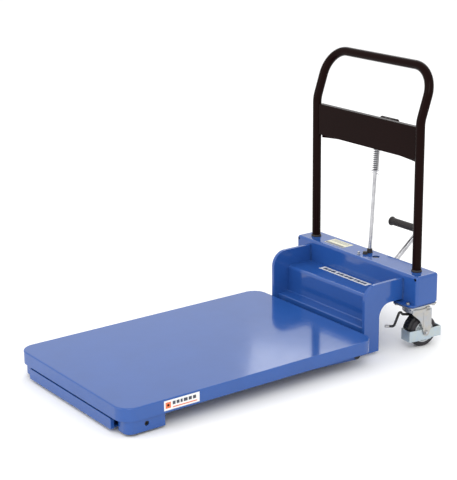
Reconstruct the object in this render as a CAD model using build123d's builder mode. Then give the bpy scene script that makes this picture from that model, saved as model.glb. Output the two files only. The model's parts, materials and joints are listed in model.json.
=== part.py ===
from build123d import *
from math import asin, atan2, cos, degrees, hypot, radians, sin, tan
import os

# Low hydraulic lift-table truck, millimetres, at rest with the table fully down.
# +X points forward to the nose, +Y to the left, +Z up, and the floor is z = 0.
# The origin is on the floor, midway between the nose and the foot pedal's grip.

# ---------------------------------------------------------------- driving sizes
table_length = 900.0
table_width = 600.0
table_top = 87.0
rim_height = 40.0
table_sheet = 3.2
table_corner = 48.0
table_edge_round = 4.0

lift_angle = 30.0            # travel of the scissor arms
arm_length = 690.0           # pivot to roller
arm_rise = 38.0              # upper pivot above the lower one when the table is down
arm_depth = 26.0
arm_thick = 10.0
inner_arm_face = table_width / 2 - 64.0   # inboard face of the inner arms
outer_arm_face = table_width / 2 - 50.0   # inboard face of the outer arms
pivot_setback = 40.0         # scissor pivot, forward of the table's back edge
pivot_height = 30.0
mid_pin_radius = 9.0
table_pin_radius = 8.0
roller_pin_radius = 6.0
roller_radius = 11.0
roller_width = 16.0

shaft_radius = 12.0
crank_height = 30.0          # ram line above the torque shaft
crank_thick = 8.0
ram_spacing = 62.0           # each ram from the centre line
ram_bore = 15.0
ram_outer = 20.0
ram_rod_radius = 12.0
ram_pin_radius = 7.0
ram_length = 154.0

caster_radius = 50.0         # sets the height of the casters, and of the box on them
crown_bottom = 2 * caster_radius + 22.0
race_bottom = crown_bottom + 14.0

cheek_outer = table_width / 2 - 67.0
cheek_thick = 12.0
cheek_bottom = 10.0
cheek_gap = 12.0             # cheek's front edge behind the table
cheek_depth = 61.0           # lower part of the cheek, front to back
cheek_corner = 50.0
arch_radius = 43.0
foot_length = 70.0           # cheek foot, forward under the table
foot_top = 44.0
foot_hump = 56.0
hump_start = 12.0             # the foot rises from here to hump_full, behind to in front of the table
hump_full = 24.0
hump_corner = 14.0
foot_corner = 6.0

step_sheet = 3.0
lip_height = 88.0
lip_gap = 28.0               # lip's front edge behind the table
riser_gap = 71.0
lip_turn = 20.0

box_gap = 168.0              # rear box's front face behind the table
box_depth = 92.0
box_width = table_width - 8.0
box_bottom = race_bottom + 18.0
box_top = box_bottom + 92.0
cheek_height = box_top - 16.0
arch_top = box_bottom + 7.0
step_height = box_bottom + 20.5
box_sheet = 3.2
box_round = 10.0
floor_plate = 6.0
floor_reach = 15.0           # the box floor sticks out in front of the box

post_gap = 212.0             # handle posts behind the table's back edge
post_spacing = table_width / 2 - 54.0     # each post from the centre line
tube_radius = 14.3
tube_wall = 2.0
kink_height = 720.0
handle_height = 877.0        # centre of the top bar
handle_lean = 19.0
kink_bend = 90.0
corner_bend = 86.0
panel_bottom = 600.0
panel_top = 702.0
panel_sheet = 2.5
panel_gap = 15.0
panel_drop = 13.0

rail_inner = table_width / 2 - 102.0
rail_outer = table_width / 2 - 66.0
rail_wall = 3.0
bar_thick = 12.0
rail_end = table_length - bar_thick
bar_half_width = table_width / 2 - 68.0
bar_bottom = 9.0
bar_top = 42.0

nose_wheel_radius = 30.0
nose_wheel_width = 30.0
nose_axle_radius = 7.0
nose_axle_x = table_length - 78.0         # from the table's back edge
housing_inner = table_width / 2 - 55.0
housing_outer = table_width / 2 - 10.0
housing_wall = 4.0
housing_back = table_length - 138.0
housing_front = table_length - 20.0
housing_bottom = 8.0
housing_corner = 18.0

caster_gap = 204.0           # swivel axis behind the table's back edge
caster_spacing = table_width / 2 - 49.0   # swivel axis from the centre line
caster_width = 32.0
caster_trail = 27.0
caster_plate = (110.0, 88.0, 4.0)
caster_headings = {"left": -7.0, "right": 5.0}
race_radius = 36.0
fork_sheet = 3.0
fork_inner = caster_width / 2 + 9.0      # fork leg's inner face from the wheel's mid plane
caster_axle_radius = 5.0
guard_length = 2 * caster_radius + 22.0
guard_width = caster_width + 16.0
guard_sheet = 3.0
guard_bottom = caster_radius - 25.0
guard_top = caster_radius + 11.0
brake_pin = (6.0, 2 * caster_radius + 6.0)   # forward of the swivel axis, and height
brake_gap = 3.0
shoe_thick = 11.0
shoe_half = 13.0
shoe_start = 15.0            # degrees above the wheel's centre, on its front side
shoe_sweep = 45.0

pedal_gap = 235.0            # pedal shaft behind the table's back edge
pedal_height = box_bottom + 16.4
pedal_reach = 211.0
pedal_angle = 39.1
pedal_side = 58.5
pedal_bar_radius = 8.0
grip_radius = 12.5
grip_flange = 15.5
grip_length = 122.0
pedal_arm = 22.0
pedal_stroke = 45.0
pedal_cam = 6.0
pump_side = -40.0
plunger_radius = 7.0

rod_radius = 6.0
rod_base_gap = 228.0
rod_side = 8.0
rod_lean = 3.7
lever_pivot_gap = 240.0
lever_pivot_height = 660.0
valve_height = box_top - 24.0
valve_gap = 210.0

pipe_radius = 4.0

run = 0.06                   # radial clearance of a running fit
gap = 0.3                    # between bodies that move past each other
snug = 0.15                  # between round pieces fixed in one another

# ---------------------------------------------------------------- derived places
grip_rear = pedal_gap + pedal_reach * cos(radians(pedal_angle)) + grip_flange
table_back = -(table_length - grip_rear) / 2
table_front = table_back + table_length
table_mid = table_back + table_length / 2
table_under = table_top - table_sheet
rim_bottom = table_top - rim_height

rest_angle = degrees(asin(arm_rise / arm_length))
arm_span = arm_length * cos(radians(rest_angle))
pivot_x = table_back + pivot_setback
roller_x = pivot_x + arm_span
mid_x = (pivot_x + roller_x) / 2
mid_z = pivot_height + arm_rise / 2
upper_pivot_height = pivot_height + arm_rise
rail_bottom = pivot_height - roller_radius - gap - rail_wall
rail_top = pivot_height + roller_radius + gap + rail_wall
crank_lean = lift_angle / 2
ram_height = pivot_height + crank_height
ram_pin_x = pivot_x + crank_height * tan(radians(crank_lean))

box_front = table_back - box_gap
box_back = box_front - box_depth
box_mid = (box_front + box_back) / 2
post_x = table_back - post_gap
inner_width = 2 * (cheek_outer - cheek_thick)
cheek_front = table_back - cheek_gap
cheek_back = cheek_front - cheek_depth

pedal_x = table_back - pedal_gap
pump_x = pedal_x + pedal_arm * cos(radians(pedal_stroke / 2))
cam_height = pedal_height - pedal_arm * sin(radians(pedal_stroke / 2))

os.makedirs("parts", exist_ok=True)


def save(part, name):
    part.label = name
    export_step(part, f"parts/{name}.step")


def side_plane(side, outer, thick):
    """Plane that an extrusion of `thick` leaves towards -Y, with its far face at `outer`."""
    start = outer if side > 0 else thick - outer
    return Plane.XZ.offset(-start)


def round_corner(outline, x, z, radius):
    fillet(outline.vertices().sort_by_distance((x, z, 0))[0], radius)


def bar_profile(start, end, width):
    """Straight bar with round ends between two points of the sketch."""
    length = hypot(end[0] - start[0], end[1] - start[1])
    middle = ((start[0] + end[0]) / 2, (start[1] + end[1]) / 2)
    turn = degrees(atan2(end[1] - start[1], end[0] - start[0]))
    with Locations(Location((middle[0], middle[1], 0), (0, 0, turn))):
        SlotOverall(length + width, width)


sides = {"left": 1, "right": -1}

# ---------------------------------------------------------------- table
with BuildPart() as table:
    with BuildSketch(Plane.XY.offset(rim_bottom)):
        with Locations((table_mid, 0)):
            RectangleRounded(table_length, table_width, table_corner)
    extrude(amount=rim_height)
    fillet(table.faces().sort_by(Axis.Z)[-1].edges(), table_edge_round)
    offset(amount=-table_sheet, openings=table.faces().sort_by(Axis.Z)[0])
save(table.part, "deck_plate")

stiffener_height = 14.0
stiffener_thick = 6.0
stiffener_spacing = 130.0
stiffener_length = table_length - 120.0
strip_length = 170.0
strip_width = 19.0
strip_front = 26.0           # wear strip, forward of the roller
strip_bottom = upper_pivot_height + roller_radius + gap
roller_clearance = 2.0       # beside the rollers
upper_roller_face = outer_arm_face + arm_thick + roller_clearance
with BuildPart() as stiffeners:
    with Locations((table_mid, 0, table_under - stiffener_height / 2)):
        with GridLocations(1, 2 * stiffener_spacing, 1, 2):
            Box(stiffener_length, stiffener_thick, stiffener_height)
    strip_y = upper_roller_face + roller_width / 2
    strip_mid_z = (strip_bottom + table_under) / 2
    with Locations((roller_x - strip_length / 2 + strip_front, 0, strip_mid_z)):
        with GridLocations(1, 2 * strip_y, 1, 2):
            Box(strip_length, strip_width, table_under - strip_bottom)
save(stiffeners.part, "deck_stiffeners")

bracket_eye = 4.0            # material round the table pin
bracket_face = inner_arm_face + arm_thick + 1
bracket_thick = 6.0
bracket_length = 36.0
with BuildPart() as brackets:
    for side in sides.values():
        with BuildSketch(side_plane(side, bracket_face + bracket_thick, bracket_thick)):
            with Locations((pivot_x, (upper_pivot_height + table_under) / 2)):
                Rectangle(bracket_length, table_under - upper_pivot_height)
            with Locations((pivot_x, upper_pivot_height)):
                Circle(table_pin_radius + bracket_eye)
        extrude(amount=bracket_thick)
        pin_length = bracket_face + bracket_thick - inner_arm_face + 1
        with BuildSketch(side_plane(side, bracket_face + bracket_thick, pin_length)):
            with Locations((pivot_x, upper_pivot_height)):
                Circle(table_pin_radius)
        extrude(amount=pin_length)
save(brackets.part, "deck_brackets")

label_sheet = 0.4
rim_label = (118.0, 29.0)
rim_label_x = table_length - 190.0
rim_label_drop = 15.5        # middle of the label below the edge rounding
with BuildPart() as deck_label:
    with BuildSketch(Plane.XZ.offset(-table_width / 2 - label_sheet)):
        with Locations((table_back + rim_label_x, table_top - table_edge_round - rim_label_drop)):
            Rectangle(*rim_label)
    extrude(amount=label_sheet)
save(deck_label.part, "rim_label")

# ---------------------------------------------------------------- scissor arms
shaft_end = 2.0              # shaft beyond the outer arms
crank_plate = (66.0, 30.0)
crank_slot = 3.0             # pin travel across the ram line
crank_inset = 22.0           # crank plates, inboard and outboard of the ram
crank_outset = 14.0
with BuildPart() as shaft:
    shaft_half = outer_arm_face + arm_thick + shaft_end
    with BuildSketch(side_plane(1, shaft_half, 2 * shaft_half)):
        with Locations((pivot_x, pivot_height)):
            Circle(shaft_radius)
    extrude(amount=2 * shaft_half)
    crank_faces = (ram_spacing - crank_inset, ram_spacing + crank_outset)
    slot_reach = crank_height * (1 + 1 / cos(radians(crank_lean))) / 2
    for side in sides.values():
        for face in crank_faces:
            plane = side_plane(side, face + crank_thick, crank_thick)
            with BuildSketch(plane):
                with Locations(Location((pivot_x, pivot_height, 0), (0, 0, 90 - crank_lean))):
                    with Locations((crank_height / 2, 0)):
                        SlotOverall(*crank_plate)
            extrude(amount=crank_thick)
            with BuildSketch(plane):
                with Locations(Location((pivot_x, pivot_height, 0), (0, 0, 90 - crank_lean))):
                    with Locations((slot_reach, 0)):
                        SlotCenterToCenter(crank_slot, 2 * (ram_pin_radius + gap))
            extrude(amount=crank_thick, mode=Mode.SUBTRACT)
save(shaft.part, "torque_shaft")

stub_reach = 4.0             # roller pin beyond the roller
for name, side in sides.items():
    with BuildPart() as arm:
        with BuildSketch(side_plane(side, outer_arm_face + arm_thick, arm_thick)):
            bar_profile((pivot_x, pivot_height), (roller_x, upper_pivot_height), arm_depth)
            with Locations((pivot_x, pivot_height)):
                Circle(shaft_radius + snug, mode=Mode.SUBTRACT)
            with Locations((mid_x, mid_z)):
                Circle(mid_pin_radius + snug, mode=Mode.SUBTRACT)
        extrude(amount=arm_thick)
        stub = roller_width + stub_reach
        with BuildSketch(side_plane(side, outer_arm_face + arm_thick + stub, stub)):
            with Locations((roller_x, upper_pivot_height)):
                Circle(roller_pin_radius)
        extrude(amount=stub)
    save(arm.part, f"outer_arm_{name}")

    with BuildPart() as arm:
        with BuildSketch(side_plane(side, inner_arm_face + arm_thick, arm_thick)):
            bar_profile((roller_x, pivot_height), (pivot_x, upper_pivot_height), arm_depth)
            with Locations((pivot_x, upper_pivot_height)):
                Circle(table_pin_radius + run, mode=Mode.SUBTRACT)
            with Locations((mid_x, mid_z)):
                Circle(mid_pin_radius + run, mode=Mode.SUBTRACT)
        extrude(amount=arm_thick)
        stub = roller_width + stub_reach
        with BuildSketch(side_plane(side, inner_arm_face, stub)):
            with Locations((roller_x, pivot_height)):
                Circle(roller_pin_radius)
        extrude(amount=stub)
    save(arm.part, f"inner_arm_{name}")

with BuildPart() as pins:
    pin_length = outer_arm_face + 2 * arm_thick - inner_arm_face - 4
    for side in sides.values():
        outer = inner_arm_face - 1 + pin_length
        with BuildSketch(side_plane(side, outer, pin_length)):
            with Locations((mid_x, mid_z)):
                Circle(mid_pin_radius)
        extrude(amount=pin_length)
save(pins.part, "pivot_pins")

cross_tube_radius = 10.0
cross_tube_gap = 1.0         # above the rails at rest
cross_tube_wall = 2.5
cross_tube_place = 270.255   # forward of the table's back edge
cross_tube_z = rail_top + cross_tube_gap + cross_tube_radius
cross_tube_x = table_back + cross_tube_place
with BuildPart() as cross_tube:
    with BuildSketch(side_plane(1, inner_arm_face, 2 * inner_arm_face)):
        with Locations((cross_tube_x, cross_tube_z)):
            Circle(cross_tube_radius)
            Circle(cross_tube_radius - cross_tube_wall, mode=Mode.SUBTRACT)
    extrude(amount=2 * inner_arm_face)
save(cross_tube.part, "inner_cross_tube")


def make_rollers(height, face):
    with BuildPart() as rollers:
        for side in sides.values():
            with BuildSketch(side_plane(side, face + roller_width, roller_width)):
                with Locations((roller_x, height)):
                    Circle(roller_radius)
                    Circle(roller_pin_radius + run, mode=Mode.SUBTRACT)
            extrude(amount=roller_width)
    return rollers.part


lower_roller_face = inner_arm_face - roller_width - 2 * roller_clearance
save(make_rollers(pivot_height, lower_roller_face), "lower_rollers")
save(make_rollers(upper_pivot_height, upper_roller_face), "upper_rollers")

# ---------------------------------------------------------------- rams
ram_setoff = 38.0            # ram in front of the scissor pivot
ram_front = pivot_x + ram_setoff
ram_back = ram_front + ram_length
cap_thick = 10.0
gland_thick = 12.0
with BuildPart() as barrels:
    for side in sides.values():
        y = side * ram_spacing
        with BuildSketch(Plane.YZ.offset(ram_front)):
            with Locations((y, ram_height)):
                Circle(ram_outer)
        extrude(amount=ram_length)
        with BuildSketch(Plane.YZ.offset(ram_front + gland_thick)):
            with Locations((y, ram_height)):
                Circle(ram_bore)
        extrude(amount=ram_length - gland_thick - cap_thick, mode=Mode.SUBTRACT)
        with BuildSketch(Plane.YZ.offset(ram_front)):
            with Locations((y, ram_height)):
                Circle(ram_rod_radius + run)
        extrude(amount=gland_thick, mode=Mode.SUBTRACT)
save(barrels.part, "ram_barrels")

piston_length = 20.0
piston_clearance = 2.0       # piston to the end cap at rest
eye_width = 22.0
eye_depth = 8.0
with BuildPart() as rods:
    for side in sides.values():
        y = side * ram_spacing
        rod_end = ram_back - cap_thick - piston_clearance
        with BuildSketch(Plane.YZ.offset(ram_pin_x + eye_depth)):
            with Locations((y, ram_height)):
                Circle(ram_rod_radius)
        extrude(amount=rod_end - ram_pin_x - eye_depth)
        with BuildSketch(Plane.YZ.offset(rod_end - piston_length)):
            with Locations((y, ram_height)):
                Circle(ram_bore - run)
        extrude(amount=piston_length)
        with BuildSketch(Plane.XZ.offset(-(y + eye_width / 2))):
            with Locations((ram_pin_x, ram_height)):
                Circle(ram_rod_radius)
        extrude(amount=eye_width)
        pin_length = crank_inset + crank_outset + crank_thick + 4
        with BuildSketch(Plane.XZ.offset(-(y + pin_length / 2))):
            with Locations((ram_pin_x, ram_height)):
                Circle(ram_pin_radius)
        extrude(amount=pin_length)
save(rods.part, "ram_rods")

# ---------------------------------------------------------------- base frame
for name, side in sides.items():
    with BuildPart() as cheek:
        with BuildSketch(side_plane(side, cheek_outer, cheek_thick)) as outline:
            with BuildLine():
                Polyline(
                    (cheek_back, cheek_bottom),
                    (table_back + foot_length, cheek_bottom),
                    (table_back + foot_length, foot_hump),
                    (table_back + hump_full, foot_hump),
                    (table_back + hump_start, foot_top),
                    (cheek_front, foot_top),
                    (cheek_front, cheek_height),
                    (box_front, cheek_height),
                    (box_front, arch_top),
                    (cheek_back, arch_top),
                    close=True,
                )
            make_face()
            round_corner(outline, cheek_front, cheek_height, cheek_corner)
            round_corner(outline, cheek_back, arch_top, arch_radius)
            round_corner(outline, table_back + foot_length, foot_hump, hump_corner)
            round_corner(outline, cheek_front, foot_top, foot_corner)
            with Locations((pivot_x, pivot_height)):
                Circle(shaft_radius + run, mode=Mode.SUBTRACT)
        extrude(amount=cheek_thick)
    save(cheek.part, f"cheek_{name}")

step_bend = 9.0              # outer bend of the shelf, and of the lip
lip_bend = 4.0
riser = table_back - riser_gap
lip = table_back - lip_gap
with BuildPart() as step:
    with BuildSketch(side_plane(1, inner_width / 2, inner_width)) as outline:
        with BuildLine():
            Polyline(
                (lip, lip_height),
                (lip, lip_height - lip_turn),
                (lip - step_sheet, lip_height - lip_turn),
                (lip - step_sheet, lip_height - step_sheet),
                (riser - step_sheet, lip_height - step_sheet),
                (riser - step_sheet, step_height - step_sheet),
                (box_front, step_height - step_sheet),
                (box_front, step_height),
                (riser, step_height),
                (riser, lip_height),
                close=True,
            )
        make_face()
        round_corner(outline, riser, step_height, step_bend)
        round_corner(outline, riser - step_sheet, step_height - step_sheet, step_bend - step_sheet)
        round_corner(outline, lip, lip_height, lip_bend)
    extrude(amount=inner_width)
save(step.part, "step_cover")

sleeve_radius = 10.0
relief = 5.0
rod_tilt = tan(radians(rod_lean))
rod_base_x = table_back - rod_base_gap
hole_radius = 12.5
filler = (table_back - 213.0, 55.0)
cap_spot = (table_back - 206.0, 11.0)
stub_spot = (table_back - 186.0, 2.0)
cover_opening = (box_width - 122.0, 62.0)
pedal_slot = (26.0, 70.0)    # open at the bottom, for the pedal's lowest reach
pedal_slot_middle = box_bottom + 30.0
slot_corner = 6.0
with BuildPart() as box:
    with BuildSketch(Plane.XY.offset(box_bottom)):
        with Locations((box_mid, 0)):
            Rectangle(box_depth, box_width)
    extrude(amount=box_top - box_bottom)
    fillet(box.edges().filter_by(Axis.Z), box_round)
    fillet(box.faces().sort_by(Axis.Z)[-1].edges(), box_round - 1)
    offset(amount=-box_sheet, openings=box.faces().sort_by(Axis.Z)[0])
    with BuildSketch(Plane.XY.offset(box_top + 1)):
        with Locations((post_x, post_spacing), (post_x, -post_spacing)):
            Circle(tube_radius + snug)
        with Locations(filler):
            Circle(hole_radius)
        with Locations((rod_base_x, rod_side)):
            Circle(sleeve_radius - 1)
    extrude(amount=-(box_sheet + 2), mode=Mode.SUBTRACT)
    with BuildSketch(Plane.YZ.offset(box_back - 1)):
        with Locations((0, (box_top + box_bottom) / 2)):
            Rectangle(*cover_opening)
        with Locations((pedal_side, pedal_slot_middle)):
            RectangleRounded(*pedal_slot, slot_corner)
    extrude(amount=box_sheet + 2, mode=Mode.SUBTRACT)
    with BuildSketch(Plane.YZ.offset(box_front + 1)):
        with GridLocations(box_width - 2 * box_round, 1, 2, 1):
            with Locations((0, box_top - box_round)):
                Circle(relief)
    extrude(amount=-(box_sheet + 3), mode=Mode.SUBTRACT)
save(box.part, "rear_box")

floor_front = box_front + floor_reach
floor_back = box_back + box_sheet
floor_corner = 16.0
pipe_start_x = post_x + 23.0
pipe_y = -20.0
with BuildPart() as floor:
    with BuildSketch(Plane.XY.offset(box_bottom - floor_plate)) as outline:
        with Locations(((floor_front + floor_back) / 2, 0)):
            Rectangle(floor_front - floor_back, box_width - 8)
        fillet(outline.vertices().group_by(Axis.X)[-1], floor_corner)
        fillet(outline.vertices().group_by(Axis.X)[0], floor_plate)
        with Locations((pipe_start_x, pipe_y)):
            Circle(2 * pipe_radius, mode=Mode.SUBTRACT)
    extrude(amount=floor_plate)
save(floor.part, "box_floor")

cover_sheet = 2.5
cover_lap = (22.0, 12.0)     # cover wider and taller than its opening
cover_corner = 5.0
with BuildPart() as cover:
    with BuildSketch(Plane.YZ.offset(box_back)) as outline:
        with Locations((0, (box_top + box_bottom) / 2)):
            RectangleRounded(
                cover_opening[0] + cover_lap[0], cover_opening[1] + cover_lap[1], cover_corner
            )
        with Locations((pedal_side, pedal_slot_middle)):
            RectangleRounded(*pedal_slot, slot_corner, mode=Mode.SUBTRACT)
    extrude(amount=-cover_sheet)
save(cover.part, "rear_cover")

rail_start = table_back + foot_length
with BuildPart() as rails:
    for side in sides.values():
        with BuildSketch(Plane.YZ.offset(rail_start)):
            middle = (side * (rail_inner + rail_outer) / 2, (rail_bottom + rail_top) / 2)
            with Locations(middle):
                Rectangle(rail_outer - rail_inner, rail_top - rail_bottom)
            with Locations((middle[0] + side * rail_wall, middle[1])):
                Rectangle(
                    rail_outer - rail_inner,
                    rail_top - rail_bottom - 2 * rail_wall,
                    mode=Mode.SUBTRACT,
                )
        extrude(amount=table_back + rail_end - rail_start)
save(rails.part, "base_rails")

bar_corner = 5.0
with BuildPart() as nose:
    with BuildSketch(Plane.YZ.offset(table_back + rail_end)):
        with Locations((0, (bar_bottom + bar_top) / 2)):
            RectangleRounded(2 * bar_half_width, bar_top - bar_bottom, bar_corner)
    extrude(amount=bar_thick)
save(nose.part, "nose_bar")

member_thick = 14.0
member_height = 50.0
with BuildPart() as member:
    with BuildSketch(Plane.YZ.offset(ram_back)):
        with Locations((0, rail_bottom + member_height / 2)):
            Rectangle(2 * rail_inner, member_height)
    extrude(amount=member_thick)
save(member.part, "cross_member")

spacer_length = 88.0
wheel_edge = 3.0
axle_socket = (3.0, 6.0)     # rim and depth of the recess in the axle ends
for name, side in sides.items():
    with BuildPart() as housing:
        length = housing_front - housing_back
        with BuildSketch(Plane.XY.offset(housing_bottom)) as outline:
            y_mid = side * (housing_inner + housing_outer) / 2
            with Locations((table_back + (housing_front + housing_back) / 2, y_mid)):
                Rectangle(length, housing_outer - housing_inner)
            round_corner(outline, table_front, side * housing_outer, housing_corner)
        extrude(amount=rim_bottom - 1 - housing_bottom)
        with BuildSketch(Plane.XY.offset(housing_bottom)) as outline:
            x_mid = table_back + (housing_front + housing_back) / 2 - housing_wall
            with Locations((x_mid, y_mid)):
                Rectangle(length, housing_outer - housing_inner - 2 * housing_wall)
            inner_corner = side * (housing_outer - housing_wall)
            round_corner(outline, table_front, inner_corner, housing_corner - housing_wall)
        extrude(amount=rim_bottom - housing_bottom, mode=Mode.SUBTRACT)
        spacer = housing_inner - rail_outer
        with BuildSketch(side_plane(side, housing_inner, spacer)):
            with Locations((table_back + nose_axle_x, (rail_top + rail_bottom) / 2)):
                Rectangle(spacer_length, rail_top - rail_bottom - 2)
        extrude(amount=spacer)
        with BuildSketch(side_plane(side, housing_outer + 1, housing_outer + 2 - rail_outer)):
            with Locations((table_back + nose_axle_x, nose_wheel_radius)):
                Circle(nose_axle_radius + snug)
        extrude(amount=housing_outer + 2 - rail_outer, mode=Mode.SUBTRACT)
    save(housing.part, f"wheel_housing_{name}")

    with BuildPart() as wheel:
        y_outer = (housing_inner + housing_outer + nose_wheel_width) / 2
        with BuildSketch(side_plane(side, y_outer, nose_wheel_width)):
            with Locations((table_back + nose_axle_x, nose_wheel_radius)):
                Circle(nose_wheel_radius)
        extrude(amount=nose_wheel_width)
        fillet(wheel.edges().filter_by(GeomType.CIRCLE), wheel_edge)
        with BuildSketch(side_plane(side, y_outer, nose_wheel_width)):
            with Locations((table_back + nose_axle_x, nose_wheel_radius)):
                Circle(nose_axle_radius + run)
        extrude(amount=nose_wheel_width, mode=Mode.SUBTRACT)
    save(wheel.part, f"nose_wheel_{name}")

with BuildPart() as axles:
    axle_length = housing_outer - housing_inner + 8
    for side in sides.values():
        with BuildSketch(side_plane(side, housing_outer + 1, axle_length)):
            with Locations((table_back + nose_axle_x, nose_wheel_radius)):
                Circle(nose_axle_radius)
        extrude(amount=axle_length)
    with BuildSketch(side_plane(1, housing_outer + 1, 1)):
        with Locations((table_back + nose_axle_x, nose_wheel_radius)):
            Circle(nose_axle_radius - axle_socket[0])
    extrude(amount=axle_socket[1], mode=Mode.SUBTRACT)
save(axles.part, "nose_axles")

# ---------------------------------------------------------------- handle
lean_shift = (handle_height - kink_height) * tan(radians(handle_lean))
bar_x = post_x - lean_shift
handle_path = [
    (post_x, post_spacing, box_bottom),
    (post_x, post_spacing, kink_height),
    (bar_x, post_spacing, handle_height),
    (bar_x, -post_spacing, handle_height),
    (post_x, -post_spacing, kink_height),
    (post_x, -post_spacing, box_bottom),
]
with BuildPart() as handle:
    with BuildLine():
        FilletPolyline(*handle_path, radius=[kink_bend, corner_bend, corner_bend, kink_bend])
    with BuildSketch(Plane(handle_path[0], z_dir=(0, 0, 1))):
        Circle(tube_radius)
        Circle(tube_radius - tube_wall, mode=Mode.SUBTRACT)
    sweep()
save(handle.part, "handle_tube")

collar_height = 7.0
collar_wall = 2.6
collar_taper = 8.0
sleeve_height = 14.0
sleeve_gap = 1.6             # round the rod, which slides and leans
cap_size = (9.0, 9.0)        # radius and height
with BuildPart() as collars:
    with BuildSketch(Plane.XY.offset(box_top)):
        with Locations((post_x, post_spacing), (post_x, -post_spacing)):
            Circle(tube_radius + collar_wall)
            Circle(tube_radius + snug, mode=Mode.SUBTRACT)
    extrude(amount=collar_height, taper=collar_taper)
    with BuildSketch(Plane.XY.offset(box_top)):
        with Locations((rod_base_x, rod_side)):
            Circle(sleeve_radius)
            Circle(rod_radius + sleeve_gap, mode=Mode.SUBTRACT)
    extrude(amount=sleeve_height)
    with BuildSketch(Plane.XY.offset(box_top)):
        with Locations(cap_spot):
            Circle(cap_size[0])
    extrude(amount=cap_size[1], taper=collar_taper)
save(collars.part, "rubber_collars")

panel_half = post_spacing - tube_radius - snug
panel_setoff = 3.0           # front panel before the middle of the posts
panel_x = post_x + panel_setoff
with BuildPart() as panel:
    with BuildSketch(Plane.YZ.offset(panel_x)):
        with Locations((0, (panel_bottom + panel_top) / 2)):
            Rectangle(2 * panel_half, panel_top - panel_bottom)
    extrude(amount=panel_sheet)
save(panel.part, "front_panel")

rear_panel_x = panel_x - panel_gap
with BuildPart() as panel:
    with BuildSketch(Plane.YZ.offset(rear_panel_x)):
        with BuildLine():
            low = panel_bottom - panel_drop
            Polyline(
                (-panel_half, low),
                (-panel_half, panel_top),
                (panel_half, panel_top),
                (panel_half, low),
            )
            ThreePointArc((-panel_half, low), (0, panel_bottom), (panel_half, low))
        make_face()
    extrude(amount=panel_sheet)
    with Locations(((rear_panel_x + panel_x + panel_sheet) / 2, 0, panel_top - panel_sheet / 2)):
        Box(panel_gap, 2 * panel_half, panel_sheet)
    with BuildSketch(Plane.YZ.offset(panel_x)):
        with Locations((0, (panel_bottom + panel_top) / 2)):
            Rectangle(2 * panel_half + 2, panel_top - panel_bottom + 2)
    extrude(amount=panel_sheet + 1, mode=Mode.SUBTRACT)
save(panel.part, "rear_panel")

# ---------------------------------------------------------------- release linkage
def rod_x(height):
    return rod_base_x - (height - box_top) * rod_tilt


lever_pivot_x = table_back - lever_pivot_gap
ear_half = 20.0
ear_thick = 3.0
seat_height = panel_bottom - 4
bracket_top = lever_pivot_height + 16
bracket_back = rod_x(lever_pivot_height) - 8
bracket_nose = 12.0          # ears behind the lever pivot
bracket_step = 22.0          # ears rise square from the seat, then slope
lever_pin = 4.0
with BuildPart() as release_bracket:
    with BuildSketch(Plane.XY.offset(seat_height)):
        with Locations(((rear_panel_x + bracket_back) / 2, rod_side)):
            Rectangle(rear_panel_x - bracket_back, 2 * (ear_half + ear_thick))
        with Locations((rod_x(seat_height), rod_side)):
            Circle(rod_radius + 1, mode=Mode.SUBTRACT)
    extrude(amount=ear_thick)
    for face in (rod_side + ear_half + ear_thick, rod_side - ear_half):
        with BuildSketch(Plane.XZ.offset(-face)):
            with BuildLine():
                Polyline(
                    (rear_panel_x, seat_height),
                    (rear_panel_x, bracket_top),
                    (lever_pivot_x - bracket_nose, bracket_top),
                    (bracket_back, seat_height + bracket_step),
                    (bracket_back, seat_height),
                    close=True,
                )
            make_face()
        extrude(amount=ear_thick)
    pin_span = 2 * (ear_half + ear_thick) + 4
    with BuildSketch(Plane.XZ.offset(-(rod_side + pin_span / 2))):
        with Locations((lever_pivot_x, lever_pivot_height)):
            Circle(lever_pin)
    extrude(amount=pin_span)
save(release_bracket.part, "release_bracket")

lever_arm = lever_pivot_x - rod_x(lever_pivot_height)
lever_thick = 6.0
lever_width = 18.0
lever_plate = 7.0            # lever plates from the rod
pad_reach = 62.0             # finger bar behind and above the lever pivot
pad_rise = 14.0
pad_radius = 9.0
pad_length = 72.0
link_slot = (9.0, 6.6)       # for the pins of the rod
link_pin = 3.0
with BuildPart() as lever:
    pad_x = lever_pivot_x - pad_reach
    pad_z = lever_pivot_height + pad_rise
    for face in (rod_side + lever_plate + lever_thick, rod_side - lever_plate):
        with BuildSketch(Plane.XZ.offset(-face)):
            bar_profile((lever_pivot_x, lever_pivot_height), (pad_x, pad_z), lever_width)
            with Locations((lever_pivot_x, lever_pivot_height)):
                Circle(lever_pin + run, mode=Mode.SUBTRACT)
            with Locations((rod_x(lever_pivot_height), lever_pivot_height)):
                SlotOverall(*link_slot, mode=Mode.SUBTRACT)
        extrude(amount=lever_thick)
    with BuildSketch(Plane.XZ.offset(-(rod_side + pad_length / 2))):
        with Locations((pad_x, pad_z)):
            Circle(pad_radius)
    extrude(amount=pad_length)
save(lever.part, "release_lever")

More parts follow.
